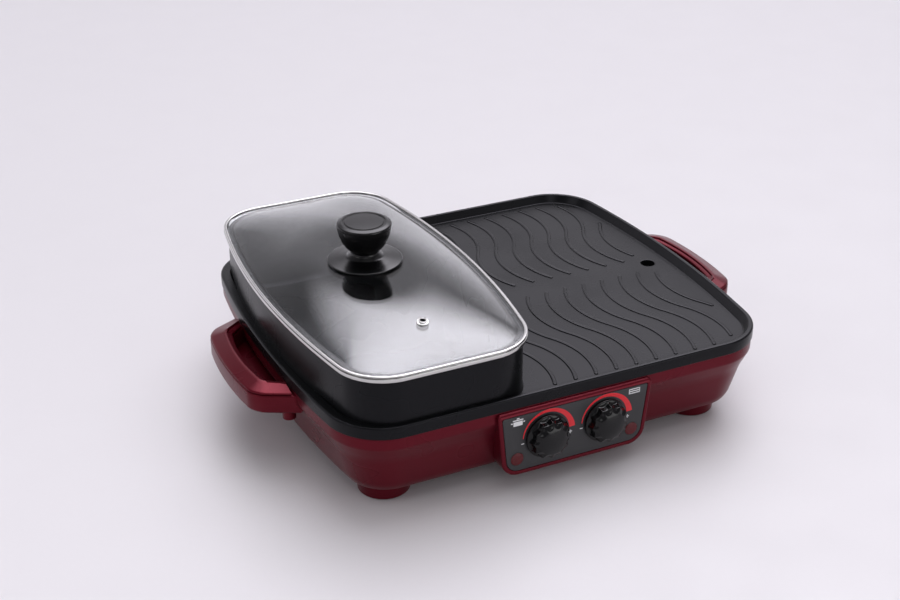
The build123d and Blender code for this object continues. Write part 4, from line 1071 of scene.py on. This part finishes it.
def add_studio(scene):
    """World: a dim room, pale paper low at the rear and a rear soft box; the camera sees a plain backdrop."""
    s, tint = sizes("stage"), sizes("colours")
    world = bpy.data.worlds.new("Studio")
    scene.world = world
    world.use_nodes = True
    tree = world.node_tree
    tree.nodes.clear()
    ramp, soft = "ShaderNodeMapRange", {"interpolation_type": "SMOOTHSTEP"}
    ray = add(tree, "ShaderNodeLightPath").outputs
    way = add(tree, "ShaderNodeTexCoord").outputs["Generated"]
    parts = add(tree, "ShaderNodeSeparateXYZ", {0: way}).outputs
    dim = add(tree, ramp, {0: parts["Y"], 1: -0.6, 2: 0.6, 3: 0.32, 4: 0.38}).outputs[0]
    rear = add(tree, ramp, {0: parts["Y"], 1: 0.1, 2: 0.7, 3: 0.0, 4: 1.0}, **soft).outputs[0]
    low = add(tree, ramp, {0: parts["Z"], 1: 0.12, 2: 0.6, 3: 1.0, 4: 0.0}, **soft).outputs[0]
    paper = add(tree, "ShaderNodeMath", {0: rear, 1: low, 2: dim}, operation="MULTIPLY_ADD").outputs[0]
    level = math.cos(s.box_rise)
    box = (math.sin(s.box_turn) * level, math.cos(s.box_turn) * level, math.sin(s.box_rise))
    near = add(tree, "ShaderNodeVectorMath", {0: way, 1: box}, operation="DOT_PRODUCT").outputs["Value"]
    edge, core = math.cos(s.box_spread), math.cos(s.box_spread / 4)
    glow = add(tree, ramp, {0: near, 1: edge, 2: core, 3: 0.0, 4: s.box_strength}, **soft).outputs[0]
    shine = add(tree, ramp, {0: ray["Is Glossy Ray"], 1: 0.0, 2: 1.0, 3: 1.0, 4: s.box_shine}).outputs[0]
    light = add(tree, "ShaderNodeMath", {0: glow, 1: shine, 2: paper}, operation="MULTIPLY_ADD").outputs[0]
    around = add(tree, "ShaderNodeBackground", {"Color": (*tint.studio, 1), "Strength": light}).outputs[0]
    behind = add(tree, "ShaderNodeBackground", {"Color": (*tint.backdrop, 1), "Strength": 1.0}).outputs[0]
    both = add(tree, "ShaderNodeMixShader", {0: ray["Is Camera Ray"], 1: around, 2: behind}).outputs[0]
    add(tree, "ShaderNodeOutputWorld", {"Surface": both})


def add_camera(scene):
    """Camera at one turn, rise and distance from its target."""
    s = sizes("stage")
    level = math.cos(s.elevation)
    back = np.array([math.sin(s.azimuth) * level, -math.cos(s.azimuth) * level, math.sin(s.elevation)])
    place = np.array(s.target) + s.distance * back
    data = bpy.data.cameras.new("Camera")
    data.lens = s.lens
    data.sensor_width = 36
    camera = bpy.data.objects.new("Camera", data)
    scene.collection.objects.link(camera)
    camera.location = place
    camera.rotation_euler = look_at(place, s.target)
    scene.camera = camera


class GRILL_OT_stage(bpy.types.Operator):
    """Build the table, the lights, the backdrop and the camera"""
    bl_idname = "grill.stage"
    bl_label = "Stage"

    def execute(self, context):
        scene = context.scene
        add_table(scene)
        add_soft_boxes(scene)
        add_studio(scene)
        add_camera(scene)
        scene.view_settings.view_transform = "Standard"
        return {"FINISHED"}


class GRILL_PT_panel(bpy.types.Panel):
    """Buttons that build the object group by group"""
    bl_idname = "GRILL_PT_panel"
    bl_label = "Grill and hot pot"
    bl_space_type = "VIEW_3D"
    bl_region_type = "UI"
    bl_category = "Grill"

    def draw(self, context):
        for operator in OPERATORS:
            self.layout.operator(operator.bl_idname)


GROUPS = {"pan": PanSizes, "pot": PotSizes, "ribs": RibSizes, "lid": LidSizes, "controls": ControlSizes,
          "handles": HandleSizes, "colours": Colours, "stage": StageSettings}
OPERATORS = (GRILL_OT_pan, GRILL_OT_base, GRILL_OT_handles, GRILL_OT_panel, GRILL_OT_controls, GRILL_OT_lid,
             GRILL_OT_finishes, GRILL_OT_stage)


def register():
    """Registers the classes and hangs the property groups on the scene."""
    for group in GROUPS.values():
        bpy.utils.register_class(group)
    for name, group in GROUPS.items():
        setattr(bpy.types.Scene, "grill_" + name, bpy.props.PointerProperty(type=group))
    for operator in OPERATORS:
        bpy.utils.register_class(operator)
    bpy.utils.register_class(GRILL_PT_panel)


def unregister():
    """Takes everything off again."""
    bpy.utils.unregister_class(GRILL_PT_panel)
    for operator in reversed(OPERATORS):
        bpy.utils.unregister_class(operator)
    for name, group in GROUPS.items():
        delattr(bpy.types.Scene, "grill_" + name)
        bpy.utils.unregister_class(group)


def main():
    """Builds everything."""
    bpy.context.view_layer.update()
    register()
    bpy.ops.grill.pan()
    bpy.ops.grill.base()
    bpy.ops.grill.handles()
    bpy.ops.grill.panel()
    bpy.ops.grill.controls()
    bpy.ops.grill.lid()
    bpy.ops.grill.finishes()
    bpy.ops.grill.stage()


if __name__ == "__main__":
    main()
